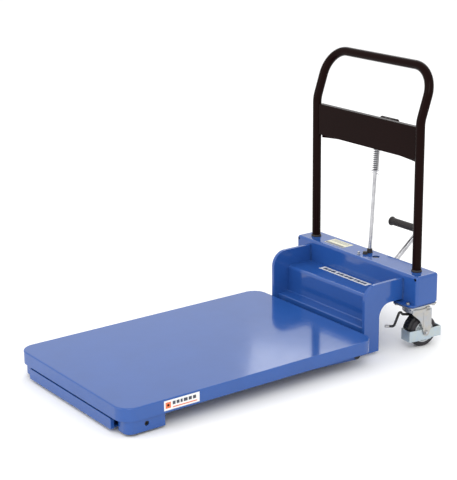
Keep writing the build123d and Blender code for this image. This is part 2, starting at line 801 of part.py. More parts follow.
washer_height = 516.0
washer_radius = 13.0
washer_thick = 3.0
spring_bottom = washer_height + washer_thick + gap
rod_tip = lever_pivot_height
rod_foot = valve_height
neck_radius = 4.0            # thinner ends of the rod
neck_foot = 12.0
neck_tip = 8.0
link_half = 14.0
split_pin = (8.0, 1.6, 16.0) # below the washer, radius, and half length
with BuildPart() as rod:
    rod_plane = Plane(
        origin=(rod_x(rod_foot), rod_side, rod_foot),
        z_dir=(-sin(radians(rod_lean)), 0, cos(radians(rod_lean))),
    )
    rod_length = (rod_tip - rod_foot) / cos(radians(rod_lean))
    with BuildSketch(rod_plane.offset(neck_foot)):
        Circle(rod_radius)
    extrude(amount=rod_length - neck_foot - neck_tip)
    with BuildSketch(rod_plane.offset(-2 * neck_radius)):
        Circle(neck_radius)
    extrude(amount=rod_length + 3 * neck_radius)
    with BuildSketch(rod_plane.offset((washer_height - rod_foot) / cos(radians(rod_lean)))):
        Circle(washer_radius)
    extrude(amount=washer_thick)
    for height in (rod_tip, rod_foot):
        with BuildSketch(Plane.XZ.offset(-(rod_side + link_half))):
            with Locations((rod_x(height), height)):
                Circle(link_pin)
        extrude(amount=2 * link_half)
    split_z = washer_height - split_pin[0]
    with BuildSketch(Plane.XZ.offset(-(rod_side + split_pin[2]))):
        with Locations((rod_x(split_z), split_z)):
            Circle(split_pin[1])
    extrude(amount=2 * split_pin[2])
save(rod.part, "release_rod")

coil_radius = 9.5
spring_wire = 1.3
spring_turns = 9
spring_seat = 2.0            # free length left under the bracket
with BuildPart() as spring:
    spring_length = (seat_height - spring_bottom - spring_seat) / cos(radians(rod_lean))
    spring_base = rod_plane.offset((spring_bottom - rod_foot) / cos(radians(rod_lean)))
    with BuildLine():
        coil = Helix(
            pitch=(spring_length - 2 * spring_wire) / spring_turns,
            height=spring_length - 2 * spring_wire,
            radius=coil_radius,
            center=spring_base.offset(spring_wire).origin,
            direction=spring_base.z_dir,
        )
    with BuildSketch(Plane(origin=coil @ 0, z_dir=coil % 0)):
        Circle(spring_wire)
    sweep(is_frenet=True)
save(spring.part, "release_spring")

valve_x = table_back - valve_gap
valve_arm = valve_x - rod_x(valve_height)
crank_width = 16.0
crank_sheet = 5.0
valve_shaft = (6.0, 13.0, 34.0)   # radius, left end from the rod, and length
valve_slot = (8.6, 6.6)
with BuildPart() as crank:
    for face in (rod_side + lever_plate + crank_sheet, rod_side - lever_plate):
        with BuildSketch(Plane.XZ.offset(-face)):
            bar_profile((valve_x, valve_height), (rod_x(valve_height), valve_height), crank_width)
            with Locations((rod_x(valve_height), valve_height)):
                SlotOverall(*valve_slot, mode=Mode.SUBTRACT)
        extrude(amount=crank_sheet)
    with BuildSketch(Plane.XZ.offset(-(rod_side + valve_shaft[1]))):
        with Locations((valve_x, valve_height)):
            Circle(valve_shaft[0])
    extrude(amount=valve_shaft[2])
save(crank.part, "valve_crank")

# ---------------------------------------------------------------- pump
pump_front = box_front - 16.0
pump_back = pedal_x + 2.0
pump_left = rod_side - 14.0
pump_right = pump_left - 68.0
pump_bottom = box_bottom + 30.0
ceiling = box_top - box_sheet
plunger_foot = cam_height + pedal_cam + gap
plunger_length = 40.0
bore_depth = 44.0
valve_bore_depth = 20.0
with BuildPart() as pump:
    with Locations(
        ((pump_front + pump_back) / 2, (pump_left + pump_right) / 2, (pump_bottom + ceiling) / 2)
    ):
        Box(pump_front - pump_back, pump_left - pump_right, ceiling - pump_bottom)
    with BuildSketch(Plane.XY.offset(pump_bottom)):
        with Locations((pump_x, pump_side)):
            Circle(plunger_radius + run)
    extrude(amount=bore_depth, mode=Mode.SUBTRACT)
    with BuildSketch(Plane.XZ.offset(-pump_left)):
        with Locations((valve_x, valve_height)):
            Circle(valve_shaft[0] + run)
    extrude(amount=valve_bore_depth, mode=Mode.SUBTRACT)
save(pump.part, "pump_body")

with BuildPart() as piston:
    with BuildSketch(Plane.XY.offset(plunger_foot)):
        with Locations((pump_x, pump_side)):
            Circle(plunger_radius)
    extrude(amount=plunger_length)
save(piston.part, "pump_piston")

tank_back = pedal_x + 13.0
tank_top = box_top - 10.0
tank_front = pump_front + 8.0
tank_middle = 86.0
tank_width = 128.0
tank_corner = 6.0
filler_nut = (9.0, 7.0)      # corner radius and height
with BuildPart() as tank:
    with Locations(((tank_front + tank_back) / 2, tank_middle, (box_bottom + tank_top) / 2)):
        Box(tank_front - tank_back, tank_width, tank_top - box_bottom)
    fillet(tank.edges().filter_by(Axis.Z), tank_corner)
    with BuildSketch(Plane.XY.offset(tank_top)):
        with Locations((filler[0] + 1, filler[1])):
            RegularPolygon(filler_nut[0], 6)
    extrude(amount=filler_nut[1])
save(tank.part, "oil_tank")

ear_places = (-64.0, pedal_side + 11.5)
ear_width = 22.0
ear_sheet = 6.0
pedal_shaft = 7.0
shaft_clearance = 2.0        # shaft beyond the ears
with BuildPart() as pedal_bracket:
    for y in ear_places:
        with BuildSketch(Plane.XZ.offset(-(y + ear_sheet))) as outline:
            with Locations((pedal_x - 1, (box_bottom + pedal_height + ear_sheet) / 2)):
                Rectangle(ear_width, pedal_height + ear_sheet - box_bottom)
            with Locations((pedal_x, pedal_height)):
                Circle(pedal_shaft + run, mode=Mode.SUBTRACT)
        extrude(amount=ear_sheet)
save(pedal_bracket.part, "pedal_bracket")

grip_x = pedal_x - pedal_reach * cos(radians(pedal_angle))
grip_z = pedal_height + pedal_reach * sin(radians(pedal_angle))
grip_setoff = 14.0           # grip from the pedal bar
pedal_bend = 13.0            # ends before the grip begins
boss_radius = 11.0
boss_length = 18.0
cam_width = 10.0
flange_thick = 4.0
grip_start = pedal_side - grip_setoff
grip_end = grip_start - grip_length
with BuildPart() as pedal:
    with BuildLine():
        FilletPolyline(
            (pedal_x, pedal_side, pedal_height),
            (grip_x, pedal_side, grip_z),
            (grip_x, grip_end + flange_thick, grip_z),
            radius=pedal_bend,
        )
    bar_dir = (-cos(radians(pedal_angle)), 0, sin(radians(pedal_angle)))
    with BuildSketch(Plane((pedal_x, pedal_side, pedal_height), z_dir=bar_dir)):
        Circle(pedal_bar_radius)
    sweep()
    with BuildSketch(Plane.XZ.offset(-(pedal_side + boss_length / 2))):
        with Locations((pedal_x, pedal_height)):
            Circle(boss_radius)
    extrude(amount=boss_length)
    shaft_span = ear_places[1] + ear_sheet - ear_places[0] + 2 * shaft_clearance
    with BuildSketch(Plane.XZ.offset(-(ear_places[1] + ear_sheet + shaft_clearance))):
        with Locations((pedal_x, pedal_height)):
            Circle(pedal_shaft)
    extrude(amount=shaft_span)
    with BuildSketch(Plane.XZ.offset(-(pump_side + cam_width / 2))):
        bar_profile((pedal_x, pedal_height), (pump_x, cam_height), pedal_cam)
        with Locations((pedal_x, pedal_height)):
            Circle(cam_width)
        with Locations((pump_x, cam_height)):
            Circle(pedal_cam)
    extrude(amount=cam_width)
save(pedal.part, "pedal_lever")

rib_count = 11
rib_depth = 0.9
rib_width = 4.0
rib_start = 10.0
with BuildPart() as grip:
    grip_plane = Plane(origin=(grip_x, grip_start, grip_z), z_dir=(0, -1, 0))
    with BuildSketch(grip_plane):
        Circle(grip_radius)
    extrude(amount=grip_length)
    with BuildSketch(grip_plane):
        Circle(grip_flange)
    extrude(amount=flange_thick)
    with BuildSketch(grip_plane.offset(grip_length - flange_thick)):
        Circle(grip_flange)
    extrude(amount=flange_thick)
    rib_pitch = (grip_length - 2 * rib_start - 2) / rib_count
    for i in range(rib_count):
        with BuildSketch(grip_plane.offset(rib_start + i * rib_pitch)):
            Circle(grip_radius)
            Circle(grip_radius - rib_depth, mode=Mode.SUBTRACT)
        extrude(amount=rib_width, mode=Mode.SUBTRACT)
    with BuildSketch(grip_plane):
        Circle(pedal_bar_radius + snug)
    extrude(amount=grip_length - flange_thick, mode=Mode.SUBTRACT)
save(grip.part, "pedal_grip")

ram_tee_x = ram_back - 12.0
tee_side = 14.0
pipe_route = [
    (pipe_start_x, pipe_y, pump_bottom),
    (pipe_start_x, pipe_y, 96),
    (lip - 36, pipe_y, 44),
    (table_back + 2, pipe_y, 39),
    (pivot_x - 14, pipe_y, 57),
    (pivot_x + 30, pipe_y, ram_height),
    (ram_tee_x - 6, pipe_y, ram_height),
]
with BuildPart() as pipe:
    with BuildLine():
        FilletPolyline(*pipe_route, radius=[34, 40, 24, 14, 24])
    with BuildSketch(Plane(pipe_route[0], z_dir=(0, 0, -1))):
        Circle(pipe_radius)
    sweep()
    with Locations((ram_tee_x, 0, ram_height)):
        Box(tee_side, 2 * (ram_spacing - ram_outer - snug), tee_side)
save(pipe.part, "pressure_pipe")

# ---------------------------------------------------------------- fasteners and labels
floor_bolt = (7.0, 5.0)      # corner radius and height
cover_screw = (3.6, 2.2)     # radius and height
stub_size = (5.0, 10.0)
bolt_side = table_width / 2 - 34.0
with BuildPart() as bolts:
    with BuildSketch(Plane.XY.offset(box_bottom)):
        with Locations(*[(floor_front - floor_reach / 2, side * bolt_side) for side in sides.values()]):
            RegularPolygon(floor_bolt[0], 6)
    extrude(amount=floor_bolt[1])
    with BuildSketch(Plane.YZ.offset(box_back - cover_sheet)):
        with Locations((0, (box_top + box_bottom) / 2)):
            with GridLocations((cover_opening[0] + 11) / 2, cover_opening[1] + 5, 3, 2):
                Circle(cover_screw[0])
    extrude(amount=-cover_screw[1])
    with BuildSketch(Plane.XY.offset(box_top)):
        with Locations(stub_spot):
            Circle(stub_size[0])
    extrude(amount=stub_size[1])
save(bolts.part, "frame_bolts")

shelf_strip = (26.0, 233.0)
shelf_strip_spot = (table_back - 147.0, -20.0)
box_label = (48.0, 94.0)
box_label_side = -131.0
with BuildPart() as labels:
    with BuildSketch(Plane.XY.offset(step_height)):
        with Locations(shelf_strip_spot):
            Rectangle(*shelf_strip)
    extrude(amount=label_sheet)
    with BuildSketch(Plane.XY.offset(box_top)):
        with Locations((box_mid, box_label_side)):
            Rectangle(*box_label)
    extrude(amount=label_sheet)
save(labels.part, "frame_labels")

# ---------------------------------------------------------------- casters
king_radius = 6.0
king_nut = (10.0, 5.5)       # corner radius and height
plate_nut = (6.5, 5.0)
plate_nut_inset = (20.0, 18.0)
plate_corner = 8.0
with BuildPart() as plates:
    for side in sides.values():
        centre = (table_back - caster_gap, side * caster_spacing)
        with BuildSketch(Plane.XY.offset(box_bottom - floor_plate)):
            with Locations(centre):
                RectangleRounded(caster_plate[0], caster_plate[1], plate_corner)
        extrude(amount=-caster_plate[2])
        plate_bottom = box_bottom - floor_plate - caster_plate[2]
        with BuildSketch(Plane.XY.offset(race_bottom)):
            with Locations(centre):
                Circle(race_radius)
        extrude(amount=plate_bottom - race_bottom)
        king_bottom = crown_bottom - 6.0
        with BuildSketch(Plane.XY.offset(king_bottom)):
            with Locations(centre):
                Circle(king_radius)
        extrude(amount=race_bottom - king_bottom)
        with BuildSketch(Plane.XY.offset(king_bottom)):
            with Locations(centre):
                RegularPolygon(king_nut[0], 6)
        extrude(amount=king_nut[1])
        nut_span = (caster_plate[0] - plate_nut_inset[0], caster_plate[1] - plate_nut_inset[1])
        with BuildSketch(Plane.XY.offset(plate_bottom - plate_nut[1])):
            with Locations(centre):
                with GridLocations(*nut_span, 2, 2):
                    RegularPolygon(plate_nut[0], 6)
        extrude(amount=plate_nut[1])
save(plates.part, "caster_plates")

wheel_z = caster_radius
wheel_x = -caster_trail
leg_outer = fork_inner + fork_sheet
crown_rim = 1.0              # crown beyond the race
crown_wall = 4.0
leg_boss = 12.0              # round the axle
axle_nut = (9.0, 6.0)
rivet = (5.0, 3.0)
pin_radius = 3.0             # brake pin
hub_radius = caster_radius - 15.0
hub_ring = (hub_radius - 4.0, 14.0)      # recess in the hub's faces
web_half = 7.0
tyre_edge = 6.0
guard_corner = 4.0
lug_radius = 7.0
foot_rod = 4.0               # radius of the brake lever
for name, side in sides.items():
    place = Location(
        (table_back - caster_gap, side * caster_spacing, 0), (0, 0, caster_headings[name])
    )
    with BuildPart() as fork:
        with BuildSketch(Plane.XY.offset(crown_bottom)):
            Circle(race_radius + crown_rim)
            with Locations((wheel_x / 2 - 5, 0)):
                Rectangle(race_radius + 10, 2 * leg_outer)
            Circle(king_radius + run, mode=Mode.SUBTRACT)
        extrude(amount=race_bottom - gap - crown_bottom)
        with BuildSketch(Plane.XY.offset(crown_bottom + crown_wall)):
            Circle(race_radius - crown_wall)
            Circle(king_radius + run, mode=Mode.SUBTRACT)
        extrude(amount=-2 * crown_wall, mode=Mode.SUBTRACT)
        for y in (leg_outer, -fork_inner):
            with BuildSketch(Plane.XZ.offset(-y)) as outline:
                with BuildLine():
                    Polyline(
                        (wheel_x - 19, crown_bottom + 8),
                        (wheel_x - 19, wheel_z + 14),
                        (wheel_x - 11, wheel_z),
                        (wheel_x + 11, wheel_z),
                        (wheel_x + 12, wheel_z + 12),
                    )
                    ThreePointArc(
                        (wheel_x + 12, wheel_z + 12),
                        (wheel_x + 24, wheel_z + 42),
                        (race_radius - 8, crown_bottom - 4),
                    )
                    Polyline(
                        (race_radius - 8, crown_bottom - 4),
                        (race_radius - 8, crown_bottom + 8),
                        (wheel_x - 19, crown_bottom + 8),
                    )
                make_face()
                with Locations((wheel_x, wheel_z)):
                    Circle(leg_boss)
                    Circle(caster_axle_radius + snug, mode=Mode.SUBTRACT)
            extrude(amount=fork_sheet)
        with BuildSketch(Plane.XZ.offset(-(leg_outer + fork_sheet))):
            with Locations((wheel_x, wheel_z)):
                Circle(caster_axle_radius)
        extrude(amount=2 * (leg_outer + fork_sheet))
        for y in (leg_outer + axle_nut[1], -leg_outer):
            with BuildSketch(Plane.XZ.offset(-y)):
                with Locations((wheel_x, wheel_z)):
                    RegularPolygon(axle_nut[0], 6)
            extrude(amount=axle_nut[1])
        with BuildSketch(Plane.XZ.offset(-(leg_outer + 2))):
            with Locations((wheel_x + 2, crown_bottom - 12)):
                Circle(rivet[0])
        extrude(amount=rivet[1])
        with BuildSketch(Plane.XZ.offset(-fork_inner)):
            with Locations(brake_pin):
                Circle(pin_radius)
        extrude(amount=2 * fork_inner)
    save(fork.part.moved(place), f"caster_fork_{name}")

    with BuildPart() as hub:
        with BuildSketch(Plane.XZ.offset(-(caster_width / 2 - 1))):
            with Locations((wheel_x, wheel_z)):
                Circle(hub_radius)
                Circle(caster_axle_radius + run, mode=Mode.SUBTRACT)
        extrude(amount=caster_width - 2)
        for y in (caster_width / 2, -web_half):
            with BuildSketch(Plane.XZ.offset(-y)):
                with Locations((wheel_x, wheel_z)):
                    Circle(hub_ring[0])
                    Circle(hub_ring[1], mode=Mode.SUBTRACT)
            extrude(amount=caster_width / 2 - web_half, mode=Mode.SUBTRACT)
    save(hub.part.moved(place), f"wheel_hub_{name}")

    with BuildPart() as tyre:
        with BuildSketch(Plane.XZ.offset(-caster_width / 2)):
            with Locations((wheel_x, wheel_z)):
                Circle(caster_radius)
        extrude(amount=caster_width)
        fillet(tyre.edges().filter_by(GeomType.CIRCLE), tyre_edge)
        with BuildSketch(Plane.XZ.offset(-caster_width / 2)):
            with Locations((wheel_x, wheel_z)):
                Circle(hub_radius + snug)
        extrude(amount=caster_width, mode=Mode.SUBTRACT)
    save(tyre.part.moved(place), f"caster_tyre_{name}")

    with BuildPart() as guard:
        with BuildSketch(Plane.XY.offset(guard_bottom)):
            with Locations((wheel_x, 0)):
                RectangleRounded(guard_length, guard_width, guard_corner)
                RectangleRounded(
                    guard_length - 2 * guard_sheet,
                    guard_width - 2 * guard_sheet,
                    1.5,
                    mode=Mode.SUBTRACT,
                )
        extrude(amount=guard_top - guard_bottom)
        with BuildSketch(Plane.XZ.offset(-guard_width)):
            with BuildLine():
                Polyline(
                    (wheel_x - guard_length, guard_bottom - 5),
                    (wheel_x - guard_length, guard_bottom + 4),
                    (wheel_x - 24, guard_bottom + 4),
                    (wheel_x - 12, guard_bottom - 5),
                    close=True,
                )
            make_face()
            with Locations((wheel_x, wheel_z)):
                Circle(caster_axle_radius + snug)
        extrude(amount=2 * guard_width, mode=Mode.SUBTRACT)
    save(guard.part.moved(place), f"toe_guard_{name}")

    shoe_inner = caster_radius + brake_gap
    with BuildPart() as shoe:
        with BuildSketch(Plane.XZ.offset(-shoe_half)):
            with BuildLine():
                inner = CenterArc((wheel_x, wheel_z), shoe_inner, shoe_start, shoe_sweep)
                outer = CenterArc(
                    (wheel_x, wheel_z), shoe_inner + shoe_thick, shoe_start, shoe_sweep
                )
                Line(inner @ 0, outer @ 0)
                Line(inner @ 1, outer @ 1)
            make_face()
            with Locations(brake_pin):
                Circle(lug_radius)
                Circle(pin_radius + run, mode=Mode.SUBTRACT)
        extrude(amount=2 * shoe_half)
    save(shoe.part.moved(place), f"brake_shoe_{name}")

    foot_side = -side
    with BuildPart() as brake:
        start = (brake_pin[0] + 5, foot_side * 9.0, brake_pin[1])
        bend = (race_radius + 1, foot_side * 14.0, brake_pin[1] + 4)
        with BuildLine():
            FilletPolyline(
                start,
                bend,
                (race_radius + 9, foot_side * 15.0, crown_bottom + 2),
                (66.0, foot_side * 17.0, 74.0),
                (88.0, foot_side * 35.0, 73.0),
                radius=[6, 5.5, 9],
            )
        with BuildSketch(Plane(start, z_dir=(Vector(*bend) - Vector(*start)))):
            Circle(foot_rod)
        sweep()
    save(brake.part.moved(place), f"brake_lever_{name}")
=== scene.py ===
import json
import math

import bmesh
import bpy
from mathutils import Matrix, Vector


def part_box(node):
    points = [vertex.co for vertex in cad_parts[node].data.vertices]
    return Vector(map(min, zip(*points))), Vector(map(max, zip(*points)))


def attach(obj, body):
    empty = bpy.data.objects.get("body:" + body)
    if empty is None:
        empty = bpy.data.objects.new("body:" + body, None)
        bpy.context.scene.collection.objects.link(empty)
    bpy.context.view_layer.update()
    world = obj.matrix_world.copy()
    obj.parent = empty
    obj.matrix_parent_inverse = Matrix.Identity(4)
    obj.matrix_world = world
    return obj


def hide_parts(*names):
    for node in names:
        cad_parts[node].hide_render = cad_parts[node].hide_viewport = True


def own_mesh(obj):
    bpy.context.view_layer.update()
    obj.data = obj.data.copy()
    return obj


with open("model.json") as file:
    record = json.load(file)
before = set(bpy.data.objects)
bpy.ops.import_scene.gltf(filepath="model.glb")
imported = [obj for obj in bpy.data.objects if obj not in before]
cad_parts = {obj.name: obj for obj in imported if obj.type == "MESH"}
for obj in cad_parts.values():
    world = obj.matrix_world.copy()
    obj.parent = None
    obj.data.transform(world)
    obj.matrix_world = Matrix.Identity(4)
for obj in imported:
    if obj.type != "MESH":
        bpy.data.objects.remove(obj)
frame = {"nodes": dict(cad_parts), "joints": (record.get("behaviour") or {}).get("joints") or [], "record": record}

bl_info = {
    "name": "Lift Table Truck",
    "version": (1, 0, 0),
    "blender": (4, 5, 0),
    "location": "View3D > Sidebar > Truck",
    "description": "Builds the painted, plated and moulded pieces of a low hydraulic lift table truck",
    "category": "Add Mesh",
}

SIDES = {"left": 1, "right": -1}
FORWARD = Vector((1, 0, 0))
LEFT = Vector((0, 1, 0))
UP = Vector((0, 0, 1))

CAMERA_PLACE = (2.4698, 3.3215, 1.6243)
CAMERA_TURNS = (54.35, 16.80, -0.69)   # yaw, pitch and roll in degrees
CAMERA_LENS = 106.55
LAMPS = (                              # name, place, aim, size, power
    ("key_light", (1.6, 3.2, 3.4), (0, 0, 0.2), 2.6, 58),
    ("fill_light", (3.4, -0.6, 2.2), (0.1, 0, 0.2), 2.4, 26),
    ("back_light", (-2.6, -2.0, 2.6), (0, 0, 0.4), 2.2, 24),
)


# ------------------------------------------------------------------ sizes and colours
def length(name, description, default):
    """A length that the sidebar shows in the scene's own unit."""
    return bpy.props.FloatProperty(
        name=name, description=description, default=default, unit="LENGTH", precision=4
    )


def angle(name, description, default):
    """An angle given in degrees."""
    return bpy.props.FloatProperty(
        name=name, description=description, default=math.radians(default), subtype="ANGLE"
    )


def colour(name, description, default):
    """A linear colour."""
    return bpy.props.FloatVectorProperty(
        name=name, description=description, default=default, subtype="COLOR", size=3, min=0, max=1
    )


class TruckSheetSizes(bpy.types.PropertyGroup):
    """Sheet metal: corners, edges and wall thicknesses."""

    table_corner: length("Table corner", "Radius of the table's corners from above", 0.048)
    table_edge: length("Table edge", "Rounding between the table's top and rim", 0.004)
    sheet: length("Sheet", "Thickness of the table's and the box's sheet", 0.0032)
    box_corner: length("Box corner", "Radius of the rear box's upright edges", 0.010)
    box_edge: length("Box edge", "Rounding along the rear box's top", 0.009)
    step_sheet: length("Step sheet", "Thickness of the step's folded sheet", 0.003)
    cheek_corner: length("Cheek corner", "Radius of the cheeks' top front corner", 0.050)
    arch: length("Arch", "Radius of the cheeks' wheel arch", 0.043)
    cheek_depth: length("Cheek depth", "Front to back size of the cheeks' leg", 0.061)
    cheek_gap: length("Cheek gap", "Cheeks' front edge behind the table", 0.012)
    arch_top: length("Arch top", "Height of the top of the wheel arch", 0.161)
    foot_top: length("Foot top", "Height of the cheek's foot behind the table", 0.044)
    foot_hump: length("Foot hump", "Height of the cheek's foot under the table", 0.056)
    plate_edge: length("Plate edge", "Softening of cut plate edges", 0.0011)
    riser_gap: length("Riser gap", "Step's riser behind the table", 0.071)
    lip_height: length("Lip height", "Height of the step's lower lip", 0.088)


class TruckTubeSizes(bpy.types.PropertyGroup):
    """Handle, rod and pedal."""

    tube_radius: length("Tube radius", "Outer radius of the handle tube", 0.0143)
    kink_height: length("Kink height", "Height at which the handle leans back", 0.720)
    kink_bend: length("Kink bend", "Bend radius of the kink", 0.090)
    corner_bend: length("Corner bend", "Bend radius of the handle's top corners", 0.086)
    lean: angle("Handle lean", "Lean of the handle's upper part", 19.0)
    rod_lean: angle("Rod lean", "Lean of the release rod", 3.7)
    rod_radius: length("Rod radius", "Radius of the release rod", 0.006)
    rod_base: length("Rod base", "Release rod behind the table's back edge, at the box top", 0.228)
    rod_side: length("Rod side", "Release rod to the left of the centre line", 0.008)
    washer_height: length("Washer height", "Height of the spring's lower washer", 0.516)
    pedal_bar: length("Pedal bar", "Radius of the pedal's bar", 0.008)
    pedal_bend: length("Pedal bend", "Bend radius of the pedal's bar", 0.013)
    grip_radius: length("Grip radius", "Radius of the pedal's rubber grip", 0.0125)


class TruckCasterSizes(bpy.types.PropertyGroup):
    """Swivel casters, seen from their own swivel axis."""

    trail: length("Trail", "Wheel axle behind the swivel axis", 0.027)
    radius: length("Wheel radius", "Radius over the tyre", 0.050)
    width: length("Wheel width", "Width of the tyre", 0.032)
    hub: length("Hub radius", "Radius of the nylon hub", 0.035)
    crown_top: length("Crown top", "Height of the fork's crown", 0.1357)
    crown_bottom: length("Crown bottom", "Underside of the fork's crown", 0.122)
    race: length("Race radius", "Radius of the swivel race", 0.036)
    leg_inner: length("Leg spacing", "Fork leg from the wheel's middle", 0.025)
    fork_sheet: length("Fork sheet", "Thickness of the fork", 0.003)
    guard_length: length("Guard length", "Length of the toe guard", 0.122)
    guard_width: length("Guard width", "Width of the toe guard", 0.048)
    heading_left: angle("Left heading", "Turn of the left caster", -7.0)
    heading_right: angle("Right heading", "Turn of the right caster", 5.0)


class TruckColours(bpy.types.PropertyGroup):
    """Colours of the paints, platings and plastics."""

    enamel: colour("Blue enamel", "Gloss paint of the table and the frame", (0.021, 0.084, 0.315))
    brown: colour("Dark enamel", "Gloss paint of the handle and its panels", (0.0085, 0.0025, 0.0020))
    zinc: colour("Zinc plate", "Passivated zinc of the casters", (0.44, 0.44, 0.44))
    chrome: colour("Chrome", "Plating of the rod and the pedal bar", (0.48, 0.48, 0.50))
    rubber: colour("Rubber", "Grip, collars and caps", (0.012, 0.009, 0.009))
    tyre: colour("Tyre", "Solid tyres of the casters", (0.016, 0.014, 0.017))
    nylon: colour("Nylon", "Hubs of the casters", (0.62, 0.66, 0.68))
    iron: colour("Cast metal", "Pump and rams", (0.16, 0.17, 0.18))
    film: colour("Label film", "White film of the labels", (0.80, 0.80, 0.78))


# ------------------------------------------------------------------ shop practice
def deselect():
    """Leave nothing selected, so that an operator acts only on what is added next."""
    bpy.ops.object.select_all(action="DESELECT")


def settle(name):
    """Name the object that was just added and put its place into its mesh."""
    bpy.ops.object.transform_apply(location=True, rotation=True, scale=True)
    piece = bpy.context.active_object
    piece.name = name
    piece.data.name = name
    return piece


def take(piece):
    """Make one piece the selected and active one."""
    deselect()
    piece.select_set(True)
    bpy.context.view_layer.objects.active = piece


def edit(piece):
    take(piece)
    bpy.ops.object.mode_set(mode="EDIT")


def leave():
    bpy.ops.object.mode_set(mode="OBJECT")


def pick(kind, test):
    """In edit mode, select only the vertices, edges or faces that pass a test."""
    bpy.ops.mesh.select_mode(type=kind)
    bpy.ops.mesh.select_all(action="DESELECT")
    mesh = bmesh.from_edit_mesh(bpy.context.active_object.data)
    for item in {"VERT": mesh.verts, "EDGE": mesh.edges, "FACE": mesh.faces}[kind]:
        if test(item):
            item.select_set(True)
    mesh.select_flush_mode()
    bmesh.update_edit_mesh(bpy.context.active_object.data)


def along(axis):
    """Test for an edge that runs along an axis."""
    return lambda edge: abs((edge.verts[0].co - edge.verts[1].co).normalized().dot(axis)) > 0.999


def facing(axis):
    """Test for a face that looks along an axis."""
    return lambda face: face.normal.dot(axis) > 0.999


def push(step):
    """Extrude what is selected by a step."""
    bpy.ops.mesh.extrude_region_move(TRANSFORM_OT_translate={"value": step})


def swing(centre, axis, turn, steps):
    """Carry what is selected round an arc, counted by the right-hand rule."""
    bpy.ops.mesh.spin(steps=steps, angle=-turn, center=centre, axis=axis)


def follow(route, bends, steps=8):
    """Carry what is selected along a route: straight runs, and an arc at each inner point."""
    here = Vector(route[0])
    for i, bend in enumerate(bends, 1):
        before, corner, after = (Vector(p) for p in route[i - 1 : i + 2])
        ahead = (corner - before).normalized()
        beyond = (after - corner).normalized()
        turn = ahead.angle(beyond)
        reach = bend * math.tan(turn / 2)
        start = corner - ahead * reach
        if (start - here).length > 1e-6:
            push(start - here)
        if bend:
            inward = (beyond - ahead * ahead.dot(beyond)).normalized()
            swing(start + inward * bend, ahead.cross(beyond).normalized(), turn, steps)
        here = corner + beyond * reach
    push(Vector(route[-1]) - here)


def start_point(name, place):
    """A plane merged to one vertex, ready to be drawn out into an outline."""
    deselect()
    bpy.ops.mesh.primitive_plane_add(size=0.001, location=place)
    piece = settle(name)
    bpy.ops.object.mode_set(mode="EDIT")
    bpy.ops.mesh.select_mode(type="VERT")
    bpy.ops.mesh.select_all(action="SELECT")
    bpy.ops.mesh.merge(type="CENTER")
    return piece


def tidy_faces():
    """Merge doubles and turn every face outwards."""
    bpy.ops.mesh.select_all(action="SELECT")
    bpy.ops.mesh.remove_doubles(threshold=1e-5)
    bpy.ops.mesh.normals_make_consistent(inside=False)


def modify(piece, kind, **settings):
    """Add a modifier with its settings and apply it."""
    take(piece)
    bpy.ops.object.modifier_add(type=kind)
    modifier = piece.modifiers[-1]
    for name, value in settings.items():
        setattr(modifier, name, value)
    bpy.ops.object.modifier_apply(modifier=modifier.name)
    return piece


def soften(piece, width, segments=2, over=30.0):
    """Round every edge that is sharper than a limit."""
    return modify(
        piece, "BEVEL", width=width, segments=segments, limit_method="ANGLE",
        angle_limit=math.radians(over), use_clamp_overlap=True,
    )


def thicken(piece, thickness):
    """Give a sheet its wall, inwards from the drawn face."""
    return modify(piece, "SOLIDIFY", thickness=thickness, offset=-1, use_even_offset=True)


def cut(piece, *cutters):
    """Take cutters out of a piece."""
    for cutter in cutters:
        modify(piece, "BOOLEAN", object=cutter, operation="DIFFERENCE", solver="EXACT")
        bpy.data.objects.remove(cutter)
    return piece


def join(name, *parts):
    """Make one piece of several."""
    deselect()
    for part in parts:
        part.select_set(True)
    bpy.context.view_layer.objects.active = parts[0]
    if len(parts) > 1:
        bpy.ops.object.join()
    piece = bpy.context.active_object
    piece.name = name
    piece.data.name = name
    return piece


def block(name, low, high):
    """A square-edged block between two corners."""
    low, high = Vector(low), Vector(high)
    deselect()
    bpy.ops.mesh.primitive_cube_add(size=1, location=(low + high) / 2, scale=high - low)
    return settle(name)


def slab(name, corners, rounds, step, steps=8):
    """A closed outline with rounded corners, extruded by a step."""
    corners = [Vector(c) for c in corners]
    start = (corners[0] + corners[1]) / 2
    piece = start_point(name, start)
    route = [start, *corners[1:], corners[0], start]
    follow(route, [*rounds[1:], rounds[0]], steps)
    bpy.ops.mesh.select_all(action="SELECT")
    bpy.ops.mesh.remove_doubles(threshold=1e-5)
    bpy.ops.mesh.edge_face_add()
    push(step)
    tidy_faces()
    leave()
    return piece


def folded(name, route, bends, step, outward, steps=6):
    """An open fold line extruded into a sheet that faces outwards."""
    piece = start_point(name, route[0])
    follow(route, bends, steps)
    bpy.ops.mesh.select_all(action="SELECT")
    push(step)
    tidy_faces()
    mesh = bmesh.from_edit_mesh(piece.data)
    if sum(f.normal.dot(outward) * f.calc_area() for f in mesh.faces) < 0:
        bpy.ops.mesh.flip_normals()
    leave()
    return piece


def turned(name, centre, axis, profile, rounds=None, segments=48):
    """A turned part: (radius, distance along the axis) points spun about the axis."""
    centre, axis = Vector(centre), Vector(axis).normalized()
    radial = axis.orthogonal().normalized()
    route = [centre + radial * r + axis * a for r, a in profile]
    piece = start_point(name, route[0])
    follow(route, rounds or [0] * (len(profile) - 2), 5)
    bpy.ops.mesh.select_all(action="SELECT")
    bpy.ops.mesh.spin(steps=segments, angle=math.tau, center=centre, axis=axis)
    tidy_faces()
    leave()
    return piece


def rod(name, start, end, radius, chamfer, segments=32):
    """A round bar with chamfered ends."""
    start, end = Vector(start), Vector(end)
    run = (end - start).length
    profile = [(0, 0), (radius - chamfer, 0), (radius, chamfer)]
    profile += [(radius, run - chamfer), (radius - chamfer, run), (0, run)]
    return turned(name, start, end - start, profile, None, segments)


